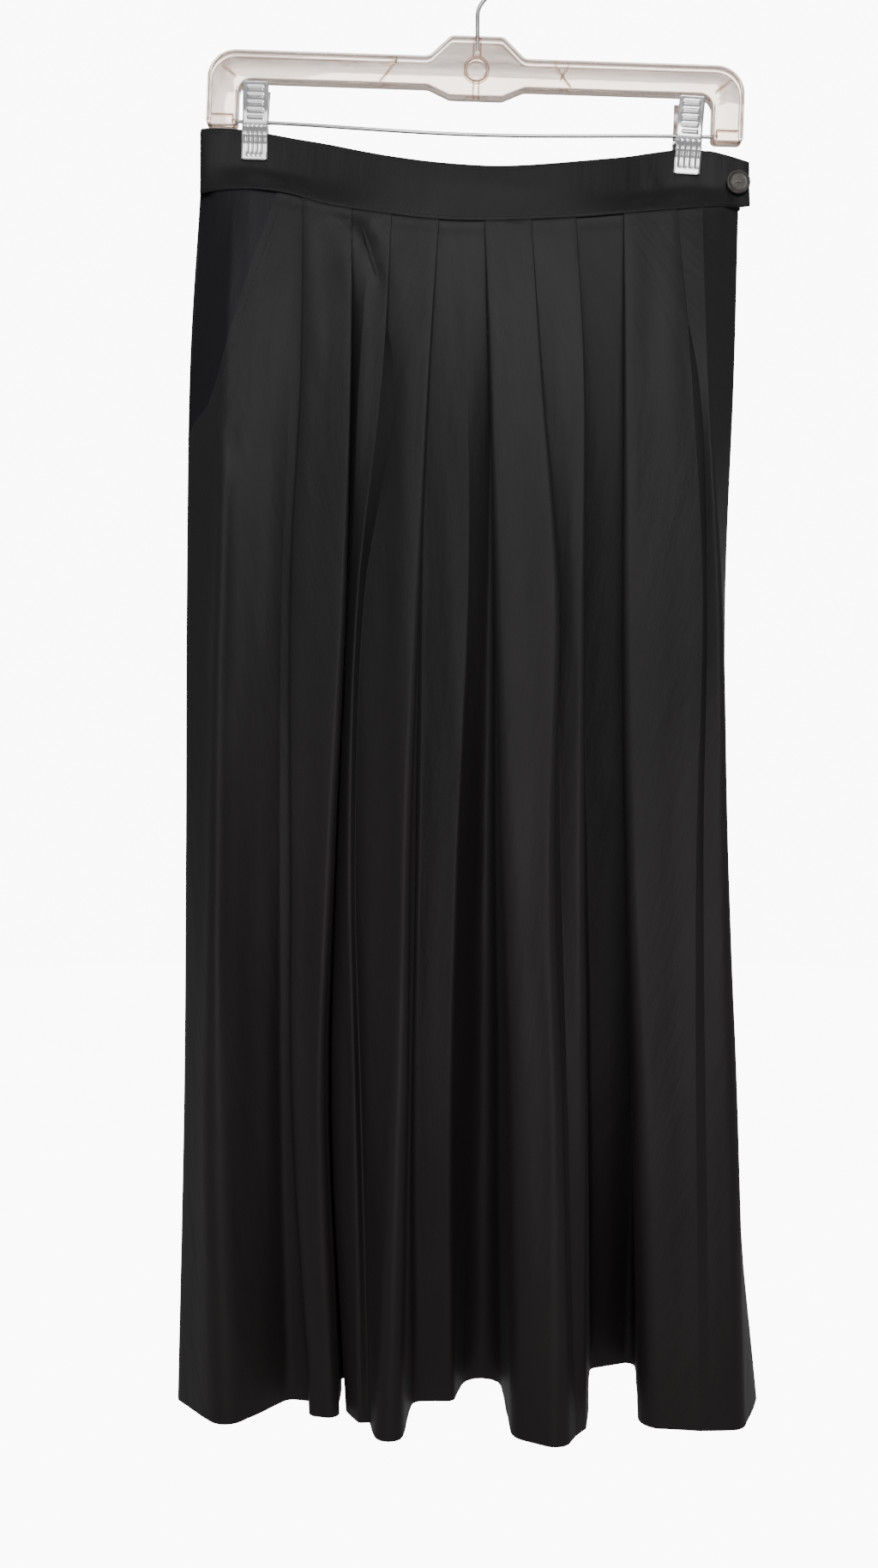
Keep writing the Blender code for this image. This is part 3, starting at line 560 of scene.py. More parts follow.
class Nodes:
    """Short way to write the nodes of a material or the world."""

    def __init__(self, owner, shader="Principled BSDF"):
        owner.use_nodes = True
        self.owner = owner
        self.tree = owner.node_tree
        self.shader = self.tree.nodes[shader]

    def put(self, socket, value):
        """Links a socket to another node's output, or sets its value."""
        if isinstance(value, bpy.types.NodeSocket):
            self.tree.links.new(value, socket)
        else:
            socket.default_value = value

    def feed(self, **values):
        """Links or sets the shader's sockets, named with _ for each space."""
        for name, value in values.items():
            self.put(self.shader.inputs[name.replace("_", " ")], value)

    def add(self, kind, inputs=None, **settings):
        node = self.tree.nodes.new(kind)
        for key, value in settings.items():
            setattr(node, key, value)
        for key, value in (inputs or {}).items():
            self.put(node.inputs[key], value)
        return node

    def coords(self, kind):
        return self.add("ShaderNodeTexCoord").outputs[kind]

    def noise(self, coords, scale, detail=4.0, rough=0.55):
        inputs = {"Vector": coords, "Scale": scale, "Detail": detail, "Roughness": rough}
        return self.add("ShaderNodeTexNoise", inputs).outputs["Fac"]

    def scaled(self, coords, scale):
        return self.add("ShaderNodeMapping", {"Vector": coords, "Scale": scale}).outputs["Vector"]

    def ramp(self, fac, *stops):
        node = self.add("ShaderNodeValToRGB", {"Fac": fac})
        elements = node.color_ramp.elements
        while len(elements) < len(stops):
            elements.new(0.5)
        for element, (at, colour) in zip(elements, stops):
            element.position = at
            element.color = (*colour, 1.0)
        return node.outputs["Color"]

    def maths(self, operation, *values):
        return self.add("ShaderNodeMath", dict(enumerate(values)), operation=operation).outputs[0]

    def bump(self, height, strength, distance, *normal):
        inputs = {"Height": height, "Strength": strength, "Distance": distance}
        inputs.update({"Normal": value for value in normal})
        return self.add("ShaderNodeBump", inputs).outputs["Normal"]

    def mix(self, fac, a, b, blend="MIX"):
        return self.add("ShaderNodeMix", {0: fac, 6: a, 7: b}, data_type="RGBA", blend_type=blend).outputs[2]


def cloth_material(name, top, hem, sheen):
    """Black satin-faced crepe: fine diagonal weave, soft cloudy lustre painted into the base colour, a little
    warmer at the hem.
    """
    n = Nodes(bpy.data.materials.new(name))
    uv = n.coords("UV")
    split = n.add("ShaderNodeSeparateXYZ", {"Vector": n.coords("Object")})
    low = n.add("ShaderNodeMapRange", {"Value": split.outputs["Z"], "From Min": -0.25, "From Max": -0.95})
    base = n.mix(low.outputs["Result"], (*top, 1.0), (*hem, 1.0))
    # painted lustre: soft patches where the base colour is made brighter and darker to stand in for sheen
    painted_lustre = n.ramp(n.noise(n.scaled(uv, (16.0, 5.0, 1.0)), 1.0, 3.0),
                   (0.25, (0.82, 0.82, 0.825)), (0.75, (1.16, 1.16, 1.155)))
    base = n.mix(1.0, base, painted_lustre, "MULTIPLY")
    slub = n.ramp(n.noise(n.scaled(uv, (900.0, 60.0, 1.0)), 1.0, 2.0),
                  (0.3, (0.95, 0.95, 0.955)), (0.7, (1.05, 1.05, 1.045)))
    base = n.mix(1.0, base, slub, "MULTIPLY")
    rough = n.maths("MULTIPLY_ADD", n.noise(n.scaled(uv, (22.0, 9.0, 1.0)), 1.0, 3.0), 0.12, 0.41)
    weave = n.add("ShaderNodeTexWave", {"Vector": uv, "Scale": 420.0, "Distortion": 1.2, "Detail": 1.0},
                  wave_type="BANDS", bands_direction="DIAGONAL")
    fine = n.bump(weave.outputs["Fac"], 0.14, 0.0001)
    crepe = n.bump(n.noise(n.scaled(uv, (420.0, 300.0, 1.0)), 1.0, 2.0), 0.16, 0.0003, fine)
    ripple = n.bump(n.noise(n.scaled(uv, (95.0, 16.0, 1.0)), 1.0, 3.0), 0.5, 0.001, crepe)
    n.feed(Base_Color=base, Roughness=rough, Normal=ripple, Sheen_Weight=sheen, Sheen_Roughness=0.45,
           Sheen_Tint=(0.78, 0.8, 0.86, 1.0), Specular_IOR_Level=0.24)
    return n.owner


def chrome_material(name, rough):
    """Bright plating with faint drawn lines and a few duller patches."""
    n = Nodes(bpy.data.materials.new(name))
    obj = n.coords("Object")
    patch = n.noise(obj, 140.0, 4.0)
    n.feed(Base_Color=n.ramp(patch, (0.3, (0.80, 0.80, 0.82)), (0.7, (0.93, 0.93, 0.94))),
           Roughness=n.maths("MULTIPLY_ADD", patch, 0.1, rough), Metallic=1.0)
    drawn = n.noise(n.scaled(obj, (1500.0, 1500.0, 90.0)), 1.0, 2.0)
    n.feed(Normal=n.bump(drawn, 0.08, 0.0001))
    return n.owner


def plastic_material():
    """Clear moulded plastic with a faint warm tint, flow ripples and light scuffs."""
    n = Nodes(bpy.data.materials.new("clear_moulded"))
    obj = n.coords("Object")
    tint = n.noise(obj, 16.0, 3.0)
    scuff = n.maths("MULTIPLY_ADD", n.noise(obj, 420.0, 5.0), 0.1, 0.03)
    flow = n.noise(n.scaled(obj, (28.0, 28.0, 70.0)), 1.0, 2.0)
    n.feed(Base_Color=n.ramp(tint, (0.3, (0.87, 0.70, 0.60)), (0.7, (0.93, 0.80, 0.71))),
           Roughness=scuff, Normal=n.bump(flow, 0.3, 0.0014), Transmission_Weight=0.93, IOR=1.46)
    return n.owner


def button_material():
    """Dark horn: brown-grey marbling under a soft polish."""
    n = Nodes(bpy.data.materials.new("dark_horn"))
    obj = n.coords("Object")
    marble = n.noise(n.scaled(obj, (190.0, 190.0, 420.0)), 1.0, 5.0, 0.6)
    n.feed(Base_Color=n.ramp(marble, (0.3, (0.035, 0.028, 0.025)), (0.55, (0.07, 0.06, 0.055)),
                             (0.75, (0.11, 0.095, 0.085))),
           Roughness=n.maths("MULTIPLY_ADD", n.noise(obj, 900.0, 3.0), 0.16, 0.26),
           Normal=n.bump(n.noise(obj, 1300.0, 2.0), 0.1, 0.0001))
    return n.owner


def thread_material(name, dark, light):
    """Twisted thread with slanting strands, darker between them: painted shade in the grooves."""
    n = Nodes(bpy.data.materials.new(name))
    wave = n.add("ShaderNodeTexWave", {"Vector": n.coords("Object"), "Scale": 900.0},
                 bands_direction="DIAGONAL")
    strands = wave.outputs["Fac"]
    # the colour follows the strand bump, dark in its low grooves: painted shade between the strands
    n.feed(Base_Color=n.ramp(strands, (0.2, dark), (0.8, light)),
           Normal=n.bump(strands, 0.4, 0.0002), Roughness=0.6)
    return n.owner


def floor_material():
    """Pale seamless floor that glows as brightly as the surround."""
    n = Nodes(bpy.data.materials.new("pale_floor"))
    faint = n.ramp(n.noise(n.coords("Object"), 1.5, 2.0),
                   (0.3, (0.985, 0.985, 0.985)), (0.7, (1.0, 1.0, 1.0)))
    n.feed(Base_Color=faint, Emission_Color=faint, Emission_Strength=SURROUND, Roughness=0.9,
           Specular_IOR_Level=0.0)
    return n.owner


CLOTH_LOOK = cloth_material("black_crepe", (0.0196, 0.0187, 0.0202), (0.0208, 0.0165, 0.0168), 0.035)
# Pocket facing: the same crepe coloured darker and bluer, painted shade for its side turned away from the
# light
FACING_SHADED_LOOK = cloth_material("black_crepe_facing_painted_shade", (0.0105, 0.0103, 0.0138), (0.0105, 0.0102, 0.0130), 0.02)
# Waistband: the same crepe coloured darker, painted shade that lowers the band's brightness
BAND_SHADED_LOOK = cloth_material("black_crepe_band_painted_shade", (0.0118, 0.0113, 0.0132), (0.0118, 0.0113, 0.0132), 0.03)
CHROME = chrome_material("bright_plating", 0.10)
CLEAR = plastic_material()
HORN = button_material()
THREAD = thread_material("button_thread", (0.16, 0.155, 0.15), (0.42, 0.41, 0.4))
SEWING = thread_material("sewing_thread", (0.012, 0.012, 0.013), (0.034, 0.033, 0.036))


# Skirt

def cloth_thickness(levels):
    """Even cloth, doubled on the inside where the hem is turned up."""
    turn = 1.0 - HEM_TURN / (SEAM_HEIGHT - HEM_HEIGHT)

    def thickness(r, c):
        doubled = smooth_step(turn, turn + 0.004, levels[r])
        return CLOTH / 2, CLOTH / 2 + HEM_DOUBLE * doubled
    return thickness


def sew(name, line, length, gap, radius, corners=6):
    """A row of short stitches along points of (x, y, z, heading) on a cloth's face."""
    profile = ((-0.1, 0.5), (0.55, 0.95), (0.85, 1.0), (0.55, 0.95), (-0.1, 0.5))
    far = [0.0]
    for a, b in zip(line, line[1:]):
        far.append(far[-1] + math.dist(a[:3], b[:3]))
    builder = bmesh.new()
    start = gap
    while start + length < far[-1]:
        rings = []
        for k, (rise, size) in enumerate(profile):
            at = start + length * k / (len(profile) - 1)
            x, y, z, heading = point_at(line, far, at)
            ahead = Vector(point_at(line, far, at + 0.4)[:3]) - Vector((x, y, z))
            if ahead.length < 1e-6:
                ahead = Vector((math.cos(heading), math.sin(heading), 0.0))
            out = Vector((math.sin(heading), -math.cos(heading), 0.0))
            side = ahead.normalized().cross(out).normalized()
            middle = Vector((x, y, z)) + out * rise * radius
            ring = []
            for corner in range(corners):
                angle = 2 * math.pi * corner / corners
                ring.append(builder.verts.new(to_world(
                    middle + (out * math.sin(angle) + side * math.cos(angle)) * radius * size)))
            rings.append(ring)
        for a, b in zip(rings, rings[1:]):
            bridge(builder, a, b)
        builder.faces.new(rings[0])
        builder.faces.new(rings[-1])
        start += length + gap
    add_piece(finish_mesh(name, builder, SEWING), "black_cloth")


def lifted(line, out):
    """The line moved out along its headings, to the cloth's face."""
    return [(x + out * math.sin(h), y - out * math.cos(h), z, h) for x, y, z, h in line]


def make_skirt():
    """Front, back and pocket facing with their sewing, in even rows and closer ones under the band."""
    close = [0.001, 0.0016, 0.002, 0.0024, 0.0028, 0.0033, 0.004, 0.005, 0.0065, 0.0085, 0.0135, 0.0165]
    close += [0.02 + 0.004 * k for k in range(11)]
    levels = sorted({k / 90 for k in range(91)} | {*close, HEM_STITCH_LEVEL, 0.9655})
    rows = [hang_row(front_row(s), s) for s in levels]
    rows = crumple(rows, levels, FRONT_CREASES, 1)
    mouth = [point_at(row, lengths_along(row), MOUTH_STITCH) for down, row in zip(levels, rows)
             if 0.012 < down < MOUTH_END - 0.012]
    sew("pocket_stitches", lifted(mouth, CLOTH / 2), *TOP_STITCH, 0.2)
    hem_row = levels.index(HEM_STITCH_LEVEL)
    sew("front_hem_stitches", lifted(rows[hem_row], CLOTH / 2), *HEM_STITCH)
    front = add_piece(shell("front_cloth", rows, cloth_thickness(levels), CLOTH_LOOK),
                      "black_cloth", "skirt_front")

    rows = [hang_row(back_row(s), s) for s in levels]
    rows = crumple(rows, levels, BACK_CREASES, -1)
    sew("back_hem_stitches", lifted(rows[hem_row], CLOTH / 2), *HEM_STITCH)
    back = add_piece(shell("back_cloth", rows, cloth_thickness(levels), CLOTH_LOOK),
                     "black_cloth", "skirt_back")

    rows = []
    for s in [FACING_END * k / 30 for k in range(31)]:
        row = hang_row(facing_row(s), s)
        rows.append([(x, y - seam_forward(x, y - FACING_SHIFT, edge_height(SEAM_EDGE, x) - z, 1), z, h)
                     for x, y, z, h in row])
    facing = add_piece(shell("facing_cloth", rows, lambda r, c: (CLOTH / 2, CLOTH / 2), FACING_SHADED_LOOK),
                       "black_cloth", "pocket_facing")


# Waistband

def clip_foot(clip):
    return clip.x + ROD_HEIGHT * math.sin(TILT)


def band_half_depth(x, down):
    free = BAND_TOP_BULGE / WAIST_BULGE
    depth = -waist_face(x) * (free + (1.0 - free) * down)
    hold = 1.0 - smooth_step(PINCH_HOLD, 1.0, down)
    for clip in CLIPS:
        off = x - clip_foot(clip)
        reach = PINCH_MIDDLE if off * clip.x < 0 else PINCH_OUTER
        near = 1.0 - smooth_step(PINCH_INNER, reach, abs(off))
        depth -= (depth - BAND_PINCHED) * near * hold
    lapped = smooth_step(LAP_START - 3.0, LAP_START, x)
    least = BAND_PINCHED + (LAP_SPREAD - BAND_PINCHED) * lapped
    return max(depth, least)


def band_row(down, bends=8):
    """The band's section: under the lap, round its fold, behind, round the left end and over the front."""
    stations = [-178.0 + 4.0 * k for k in range(82)]
    stations = [x for x in stations if x < LAP_START - 4.0] + [LAP_START - 3.0, *LAP_STATIONS]
    spread = BAND + SEAM_GAP + 0.1
    path = [(x, spread - band_half_depth(x, down)) for x in LAP_STATIONS]
    inner_y = spread - band_half_depth(LAP_FOLD, down)
    outer_y = band_half_depth(LAP_FOLD, down)
    radius = (outer_y - inner_y) / 2
    for k in range(bends + 1):
        angle = -math.pi / 2 + math.pi * k / bends
        path.append((LAP_FOLD + radius * math.cos(angle), inner_y + radius + radius * math.sin(angle)))
    for x in reversed(stations):
        path.append((x, band_half_depth(x, down)))
    turn_x = BAND_LEFT + 3.0
    radius = band_half_depth(turn_x, down)
    for k in range(bends + 1):
        angle = math.pi / 2 + math.pi * k / bends
        path.append((turn_x + 1.4 * math.cos(angle), radius * math.sin(angle)))
    front_start = len(path)
    for x in stations + [LAP_FOLD, LAP_FOLD + 4.0, TAB_END - 1.2, TAB_END - 0.4, TAB_END]:
        path.append((x, -band_half_depth(min(x, LAP_FOLD), down)))
    row = []
    for i, (x, y) in enumerate(path):
        before = path[max(i - 1, 0)]
        after = path[min(i + 1, len(path) - 1)]
        top = edge_height(BAND_TOP_EDGE, x)
        bottom = edge_height(SEAM_EDGE, x)
        heading = math.atan2(after[1] - before[1], after[0] - before[0])
        z = top + (bottom - top) * down
        push = 0.12 * noise.noise(Vector((x / 30.0, y / 9.0, z / 12.0)))
        if i >= front_start:
            push += crease_push(BAND_CREASES, x, z)
        row.append((x + push * math.sin(heading), y - push * math.cos(heading), z, heading))
    return row


def make_waistband():
    """The band, with its edges rolled and the tab's end rounded over."""
    edge = (0.0, 0.006, 0.018, 0.035, 0.06)
    levels = list(edge) + [0.06 + 0.88 * k / 16 for k in range(1, 16)] + [1.0 - e for e in reversed(edge)]
    rows = [band_row(s) for s in levels]
    full = BAND / 2
    roll = {0.0: 0.45, 0.006: 0.7, 0.018: 0.88, 0.035: 0.97}
    last = len(rows[0]) - 1

    def thickness(r, c):
        near_edge = min(levels[r], 1.0 - levels[r])
        share = 1.0
        for at, value in roll.items():
            if abs(near_edge - at) < 1e-6:
                share = value
        share *= {last: 0.55, last - 1: 0.85}.get(c, 1.0)
        return full * share, full * share

    band = add_piece(shell("waistband_cloth", rows, thickness, BAND_SHADED_LOOK, 75), "black_cloth", "waistband")
    for name, down in (("band_top_stitches", 0.075), ("band_seam_stitches", 0.935)):
        sew(name, lifted(band_row(down)[12:], full * 0.995), *TOP_STITCH, 0.19)


# Button

def button_face():
    x, z = BUTTON_CENTRE
    foot = BUTTON_RADIUS - BUTTON_BEVEL
    reach = []
    for k in range(8):
        rim_x = x + foot * math.cos(k * math.pi / 4)
        rim_z = z + foot * math.sin(k * math.pi / 4)
        top = edge_height(BAND_TOP_EDGE, rim_x)
        bottom = edge_height(SEAM_EDGE, rim_x)
        reach.append(band_half_depth(min(rim_x, LAP_FOLD), (rim_z - top) / (bottom - top)))
    return -max(reach) - BAND / 2 - SEAM_GAP


def make_button():
    """Turned button with a rolled rim, a dished middle and two thread holes."""
    x, z = BUTTON_CENTRE
    face = button_face()
    top = BUTTON_THICK
    bed = BUTTON_THICK - BUTTON_DISH
    r = BUTTON_RADIUS
    profile = (
        (0.0, 0.0), (r - 1.9, 0.0), (r - 0.9, 0.15), (r - 0.25, 0.7), (r, 1.3), (r - 0.15, 1.95),
        (r - 0.6, top - 0.1), (r - 1.0, top), (r - 1.5, top - 0.12), (r - 1.9, bed + 0.15),
        (r - 2.4, bed), (r - 4.0, bed + 0.05), (0.0, bed + 0.12),
    )
    sides = 64
    builder = bmesh.new()
    rings = []
    for radius, rise in profile:
        count = sides if radius > 0 else 1
        ring = []
        for k in range(count):
            angle = 2 * math.pi * k / sides
            ring.append(builder.verts.new(
                to_world((x + radius * math.cos(angle), face - rise, z + radius * math.sin(angle)))))
        rings.append(ring)
    for a, b in zip(rings, rings[1:]):
        for k in range(sides):
            n = (k + 1) % sides
            corners = [a[k % len(a)], a[n % len(a)], b[n % len(b)], b[k % len(b)]]
            builder.faces.new(list(dict.fromkeys(corners)))
    add_piece(finish_mesh("button_disc", builder, HORN, 50), "button_horn", "waist_button")

    # thread: a short twisted bar between two sunk holes
    builder = bmesh.new()
    steps = 14
    for strand in (-1, 1):
        path = []
        for k in range(steps + 1):
            t = k / steps
            along = (2 * t - 1) * BUTTON_HOLE_STEP
            rise = bed + 0.1 + 0.55 * math.sin(math.pi * t)
            path.append(to_world((x + along, face - rise, z + strand * 0.28 * math.cos(math.pi * t))))
        add_tube(builder, path, 0.28, 8)
    for side in (-1, 1):
        spot = to_world((x + side * BUTTON_HOLE_STEP, face - bed - 0.06, z))
        bmesh.ops.create_uvsphere(builder, u_segments=10, v_segments=6, radius=0.42 * MM,
                                  matrix=Matrix.Translation(spot))
    add_piece(finish_mesh("button_stitch", builder, THREAD), "black_cloth")


def add_tube(builder, path, radius, sides):
    """A round tube along a path of points in metres, into an open bmesh."""
    rings = []
    normal = None
    for i, point in enumerate(path):
        before = path[max(i - 1, 0)]
        after = path[min(i + 1, len(path) - 1)]
        along = (after - before).normalized()
        if normal is None:
            normal = along.orthogonal().normalized()
        normal = (normal - along * normal.dot(along)).normalized()
        side = along.cross(normal)
        ring = []
        for k in range(sides):
            angle = 2 * math.pi * k / sides
            ring.append(builder.verts.new(
                point + (normal * math.cos(angle) + side * math.sin(angle)) * radius * MM))
        rings.append(ring)
    for a, b in zip(rings, rings[1:]):
        bridge(builder, a, b)
    builder.faces.new(rings[0])
    builder.faces.new(rings[-1])


# Hanger

def tilted(x, y, z):
    return (x * math.cos(TILT) + z * math.sin(TILT), y, z * math.cos(TILT) - x * math.sin(TILT))


def rod_height(x):
    return ROD_HEIGHT - ROD_BOW * math.sin(math.pi * (x + ROD_REACH) / (2 * ROD_REACH)) ** 2


def rounded_outline(corners, steps=10):
    """Outline with each (x, z, radius) corner rounded off."""
    outline = []
    count = len(corners)
    for i, (x, z, radius) in enumerate(corners):
        here = Vector((x, z))
        before = (Vector(corners[i - 1][:2]) - here).normalized()
        after = (Vector(corners[(i + 1) % count][:2]) - here).normalized()
        half = before.angle(after) / 2
        reach = radius / math.tan(half)
        centre = here + (before + after).normalized() * radius / math.sin(half)
        start = here + before * reach - centre
        turn = math.pi - 2 * half
        side = 1.0 if before.x * after.y - before.y * after.x < 0 else -1.0
        for k in range(steps + 1):
            angle = side * turn * k / steps
            outline.append(centre + Vector((start.x * math.cos(angle) - start.y * math.sin(angle),
                                            start.x * math.sin(angle) + start.y * math.cos(angle))))
    return outline


def hanger_corners():
    leg = BAR_HALF - LEG_WIDTH
    right = [
        (PLATE_HALF, 0.0, 6.0), (PLATE_SHOULDER, BAR_TOP, 7.0), (BAR_HALF, BAR_TOP, 19.0),
        (BAR_HALF, LEG_FOOT, 3.5), (leg, LEG_FOOT, 3.5), (leg, BAR_UNDER, 9.0),
        (PLATE_SHOULDER, BAR_UNDER, 7.0), (PLATE_HALF, PLATE_UNDER, 7.0),
    ]
    return right + [(-x, z, radius) for x, z, radius in reversed(right)]


def make_hanger():
    """Clear bar with legs: rounded rim, thin web, mitre and stiffening ribs, plain centre boss."""
    builder = bmesh.new()
    outline = rounded_outline(hanger_corners())
    edge = 0.9
    half = BAR_THICK / 2 - edge
    loops = [[builder.verts.new(to_world(tilted(p.x, y, p.y))) for p in outline] for y in (-half, half)]
    bridge(builder, *loops)
    faces = [builder.faces.new(loops[0]), builder.faces.new(loops[1])]
    bmesh.ops.recalc_face_normals(builder, faces=builder.faces)
    steps = (
        (0.12, 0.45), (0.3, 0.30), (0.48, 0.15), (RIM_WIDTH - 1.9, 0.0), (0.3, -0.12), (0.2, -0.4),
        (0.12, -0.7), (0.12, -0.7), (0.2, -0.36), (0.35, -0.12),
    )
    for inset, rise in steps:
        bmesh.ops.inset_individual(builder, faces=faces, thickness=inset * MM, depth=rise * MM,
                                   use_even_offset=True)
    add_piece(finish_mesh("hanger_bar", builder, CLEAR, 40), "clear_plastic", "hanger_body")

    builder = bmesh.new()
    web = BAR_THICK / 2 - WEB_RECESS
    leg = BAR_HALF - LEG_WIDTH
    foot = LEG_FOOT + 8.5
    middle_z = PLATE_UNDER / 2 - 1.0
    pairs = (
        (BAR_HALF - 8.5, BAR_TOP - 8.5, leg + 2.2, BAR_UNDER + 3.2),
        (leg + 3.5, foot, leg + 18.0, foot), (leg + 3.5, foot, leg + 3.5, LEG_FOOT + 2.6),
        (2.3, -3.0, 2.3, middle_z + BOSS_RADIUS), (1.8, middle_z - BOSS_RADIUS, 1.8, PLATE_UNDER + 3.0),
    )
    ribs = [(side * x0, z0, side * x1, z1) for x0, z0, x1, z1 in pairs for side in (-1, 1)] + [
        (-53.0, BAR_TOP - 2.6, -64.0, BAR_UNDER + 2.6), (-53.0, BAR_TOP - 2.6, -60.5, BAR_TOP - 5.0),
        (52.0, BAR_TOP - 2.6, 63.0, BAR_UNDER + 2.6), (61.0, BAR_TOP - 2.8, 56.0, BAR_UNDER + 8.0),
    ]
    for x0, z0, x1, z1 in ribs:
        along = Vector((x1 - x0, z1 - z0)).normalized()
        side = Vector((-along.y, along.x))
        for face in (-1, 1):
            ring = []
            for w, y in ((-0.55, -0.2), (-0.5, 0.45), (-0.25, 0.75), (0.25, 0.75), (0.5, 0.45), (0.55, -0.2)):
                ring.append([builder.verts.new(to_world(tilted(
                    x + side.x * w, face * (web + y), z + side.y * w))) for x, z in ((x0, z0), (x1, z1))])
            ends = [[pair[end] for pair in ring] for end in (0, 1)]
            bridge(builder, *ends)
            for end in ends:
                builder.faces.new(end)
    boss_steps = ((0.0, -0.2), (0.0, 1.2), (0.5, 1.7), (1.5, 1.7), (2.0, 1.2), (2.1, 0.5), (2.1, -0.2))
    for face in (-1, 1):
        rings = []
        for inset, rise in boss_steps:
            radius = BOSS_RADIUS - inset
            rings.append([builder.verts.new(to_world(tilted(
                radius * math.cos(k * math.pi / 24), face * (web + rise),
                middle_z + radius * math.sin(k * math.pi / 24)))) for k in range(48)])
        for a, b in zip(rings, rings[1:] + rings[:1]):
            bridge(builder, a, b)
    add_piece(finish_mesh("hanger_ribs", builder, CLEAR, 40), "clear_plastic")


def make_hook():
    centre_z = HOOK_HEIGHT + WIRE_RADIUS - HOOK_RADIUS
    join = (HOOK_RADIUS * math.cos(HOOK_JOIN), centre_z + HOOK_RADIUS * math.sin(HOOK_JOIN))
    pull = 10.0
    handles = (
        (0.0, NECK_START),
        (0.0, NECK_START + pull),
        (join[0] + pull * math.sin(HOOK_JOIN), join[1] - pull * math.cos(HOOK_JOIN)),
        join,
    )
    path = [(0.0, 0.0, z) for z in (-STEM_DEPTH, -3.0, 4.0, 10.0)]
    neck_steps = 16
    for k in range(neck_steps):
        t = k / neck_steps
        weights = ((1 - t) ** 3, 3 * t * (1 - t) ** 2, 3 * t * t * (1 - t), t ** 3)
        path.append((sum(w * h[0] for w, h in zip(weights, handles)), 0.0,
                     sum(w * h[1] for w, h in zip(weights, handles))))
    crook_steps = 64
    for k in range(crook_steps + 1):
        angle = HOOK_JOIN + (HOOK_TIP - HOOK_JOIN) * k / crook_steps
        path.append((HOOK_RADIUS * math.cos(angle), 0.0, centre_z + HOOK_RADIUS * math.sin(angle)))
    builder = bmesh.new()
    add_tube(builder, [to_world(p) for p in path], WIRE_RADIUS, 24)
    add_piece(finish_mesh("hook_wire", builder, CHROME, 50), "chrome", "hanger_hook")


def make_rod():
    steps = 60
    stations = [ROD_REACH * (2 * k / steps - 1) for k in range(steps + 1)]
    builder = bmesh.new()
    add_tube(builder, [to_world(tilted(x, 0.0, rod_height(x))) for x in stations], ROD_RADIUS, 20)
    add_piece(finish_mesh("clip_rod", builder, CHROME, 50), "chrome", "hanger_rod")


def jaw_line():
    """Side view of a jaw: finger grip, bend and gripping lip, as smooth (depth, height) points."""
    lip = JAW_FACE + CLIP_PLATE / 2
    corners = [(7.0, 24.0), (5.2, 14.5), (CLIP_WAIST, 4.0), (CLIP_WAIST, -4.0), (lip + 1.6, -10.0),
               (lip, -16.0), (lip, -26.5)]
    depths, heights = zip(*corners)
    stations = [-z for z in heights]
    count = 110
    line = []
    for k in range(count + 1):
        z = heights[0] + (heights[-1] - heights[0]) * k / count
        line.append((smooth_along(stations, depths, -z), z))
    return line


def stamped(clip, x, z, front):
    """Relief of a jaw's outer face: cross ribs on the grip, long grooves towards the lip."""
    relief = 0.0
    inside = 1.0 - smooth_step(4.6, 5.8, abs(x))
    for rib in GRIP_RIBS:
        relief += 0.42 * inside * math.exp(-((z - rib) / 0.95) ** 2)
    if front:
        length = smooth_step(-22.6, -21.4, z) * (1.0 - smooth_step(-5.2, -3.6, z))
        for groove in clip.grooves:
            relief -= 0.45 * length * math.exp(-((x - groove) / clip.groove_width) ** 2)
        if clip.dots:
            for groove in clip.grooves:
                relief += 0.35 * math.exp(-(((x - groove) / 0.9) ** 2 + ((z + 23.4) / 0.8) ** 2))
    edge = smooth_step(CLIP_WIDTH / 2 - 0.9, CLIP_WIDTH / 2, abs(x))
    return relief - 0.4 * edge


def make_jaw(clip, side):
    end = "front" if side < 0 else "rear"
    name = f"{clip.name}_{end}_jaw"
    half = CLIP_WIDTH / 2 if side < 0 else CLIP_WIDTH / 2 - 0.4
    line = jaw_line()
    last = len(line) - 1
    columns = 68
    builder = bmesh.new()
    sheets = []
    for offset in (0.5, -0.5):
        sheet = []
        for i, (depth, z) in enumerate(line):
            a = Vector(line[max(i - 1, 0)])
            b = Vector(line[min(i + 1, last)])
            along = (b - a).normalized()
            at_end = i in (0, last)
            rounded = 1.0 - 0.45 * at_end
            row = []
            for k in range(columns + 1):
                x = half * (2 * k / columns - 1)
                out = offset * CLIP_PLATE * rounded
                if offset > 0:
                    out += stamped(clip, x, z, side < 0)
                # the corners of the plate are nipped off
                nip = max(0.0, abs(x) - half + 1.6) * 0.5 * at_end
                row.append(builder.verts.new(Vector((
                    x, side * (depth - out * along.y), z + out * along.x + (nip if i else -nip))) * MM))
            sheet.append(row)
        sheets.append(sheet)
    close_sheet(lambda corners: builder.faces.new([sheets[s][r][c] for s, r, c in corners]), last, columns)

    # ears: round-ended lugs that hang on the rod
    ear_x = half - 0.9 if side < 0 else half - 2.2
    for ear_side in (-1, 1):
        ring = [(CLIP_WAIST, EAR_RADIUS), (CLIP_WAIST, -EAR_RADIUS)]
        for k in range(9):
            angle = -math.pi / 2 - math.pi * k / 8
            ring.append((-1.0 + 2.9 * math.cos(angle) * 0.6, EAR_RADIUS * math.sin(angle)))
        faces = []
        for x in (ear_side * ear_x - 0.5, ear_side * ear_x + 0.5):
            faces.append([builder.verts.new(Vector((x, side * y, z)) * MM) for y, z in ring])
        bridge(builder, *faces)
        builder.faces.new(faces[0])
        builder.faces.new(faces[1])
    mesh = finish_mesh(name, builder, CHROME, 50)
    if side > 0:
        mesh.transform(Matrix.Translation((clip.rear_slip * MM, 0.0, 0.0)))
    mesh.transform(clip_place(clip))
    add_piece(mesh, "chrome", f"clip_{clip.name}_{end}")


def clip_place(clip):
    spot = to_world(tilted(clip.x, 0.0, rod_height(clip.x)))
    return Matrix.Translation(spot) @ Matrix.Rotation(TILT + clip.lean, 4, "Y")


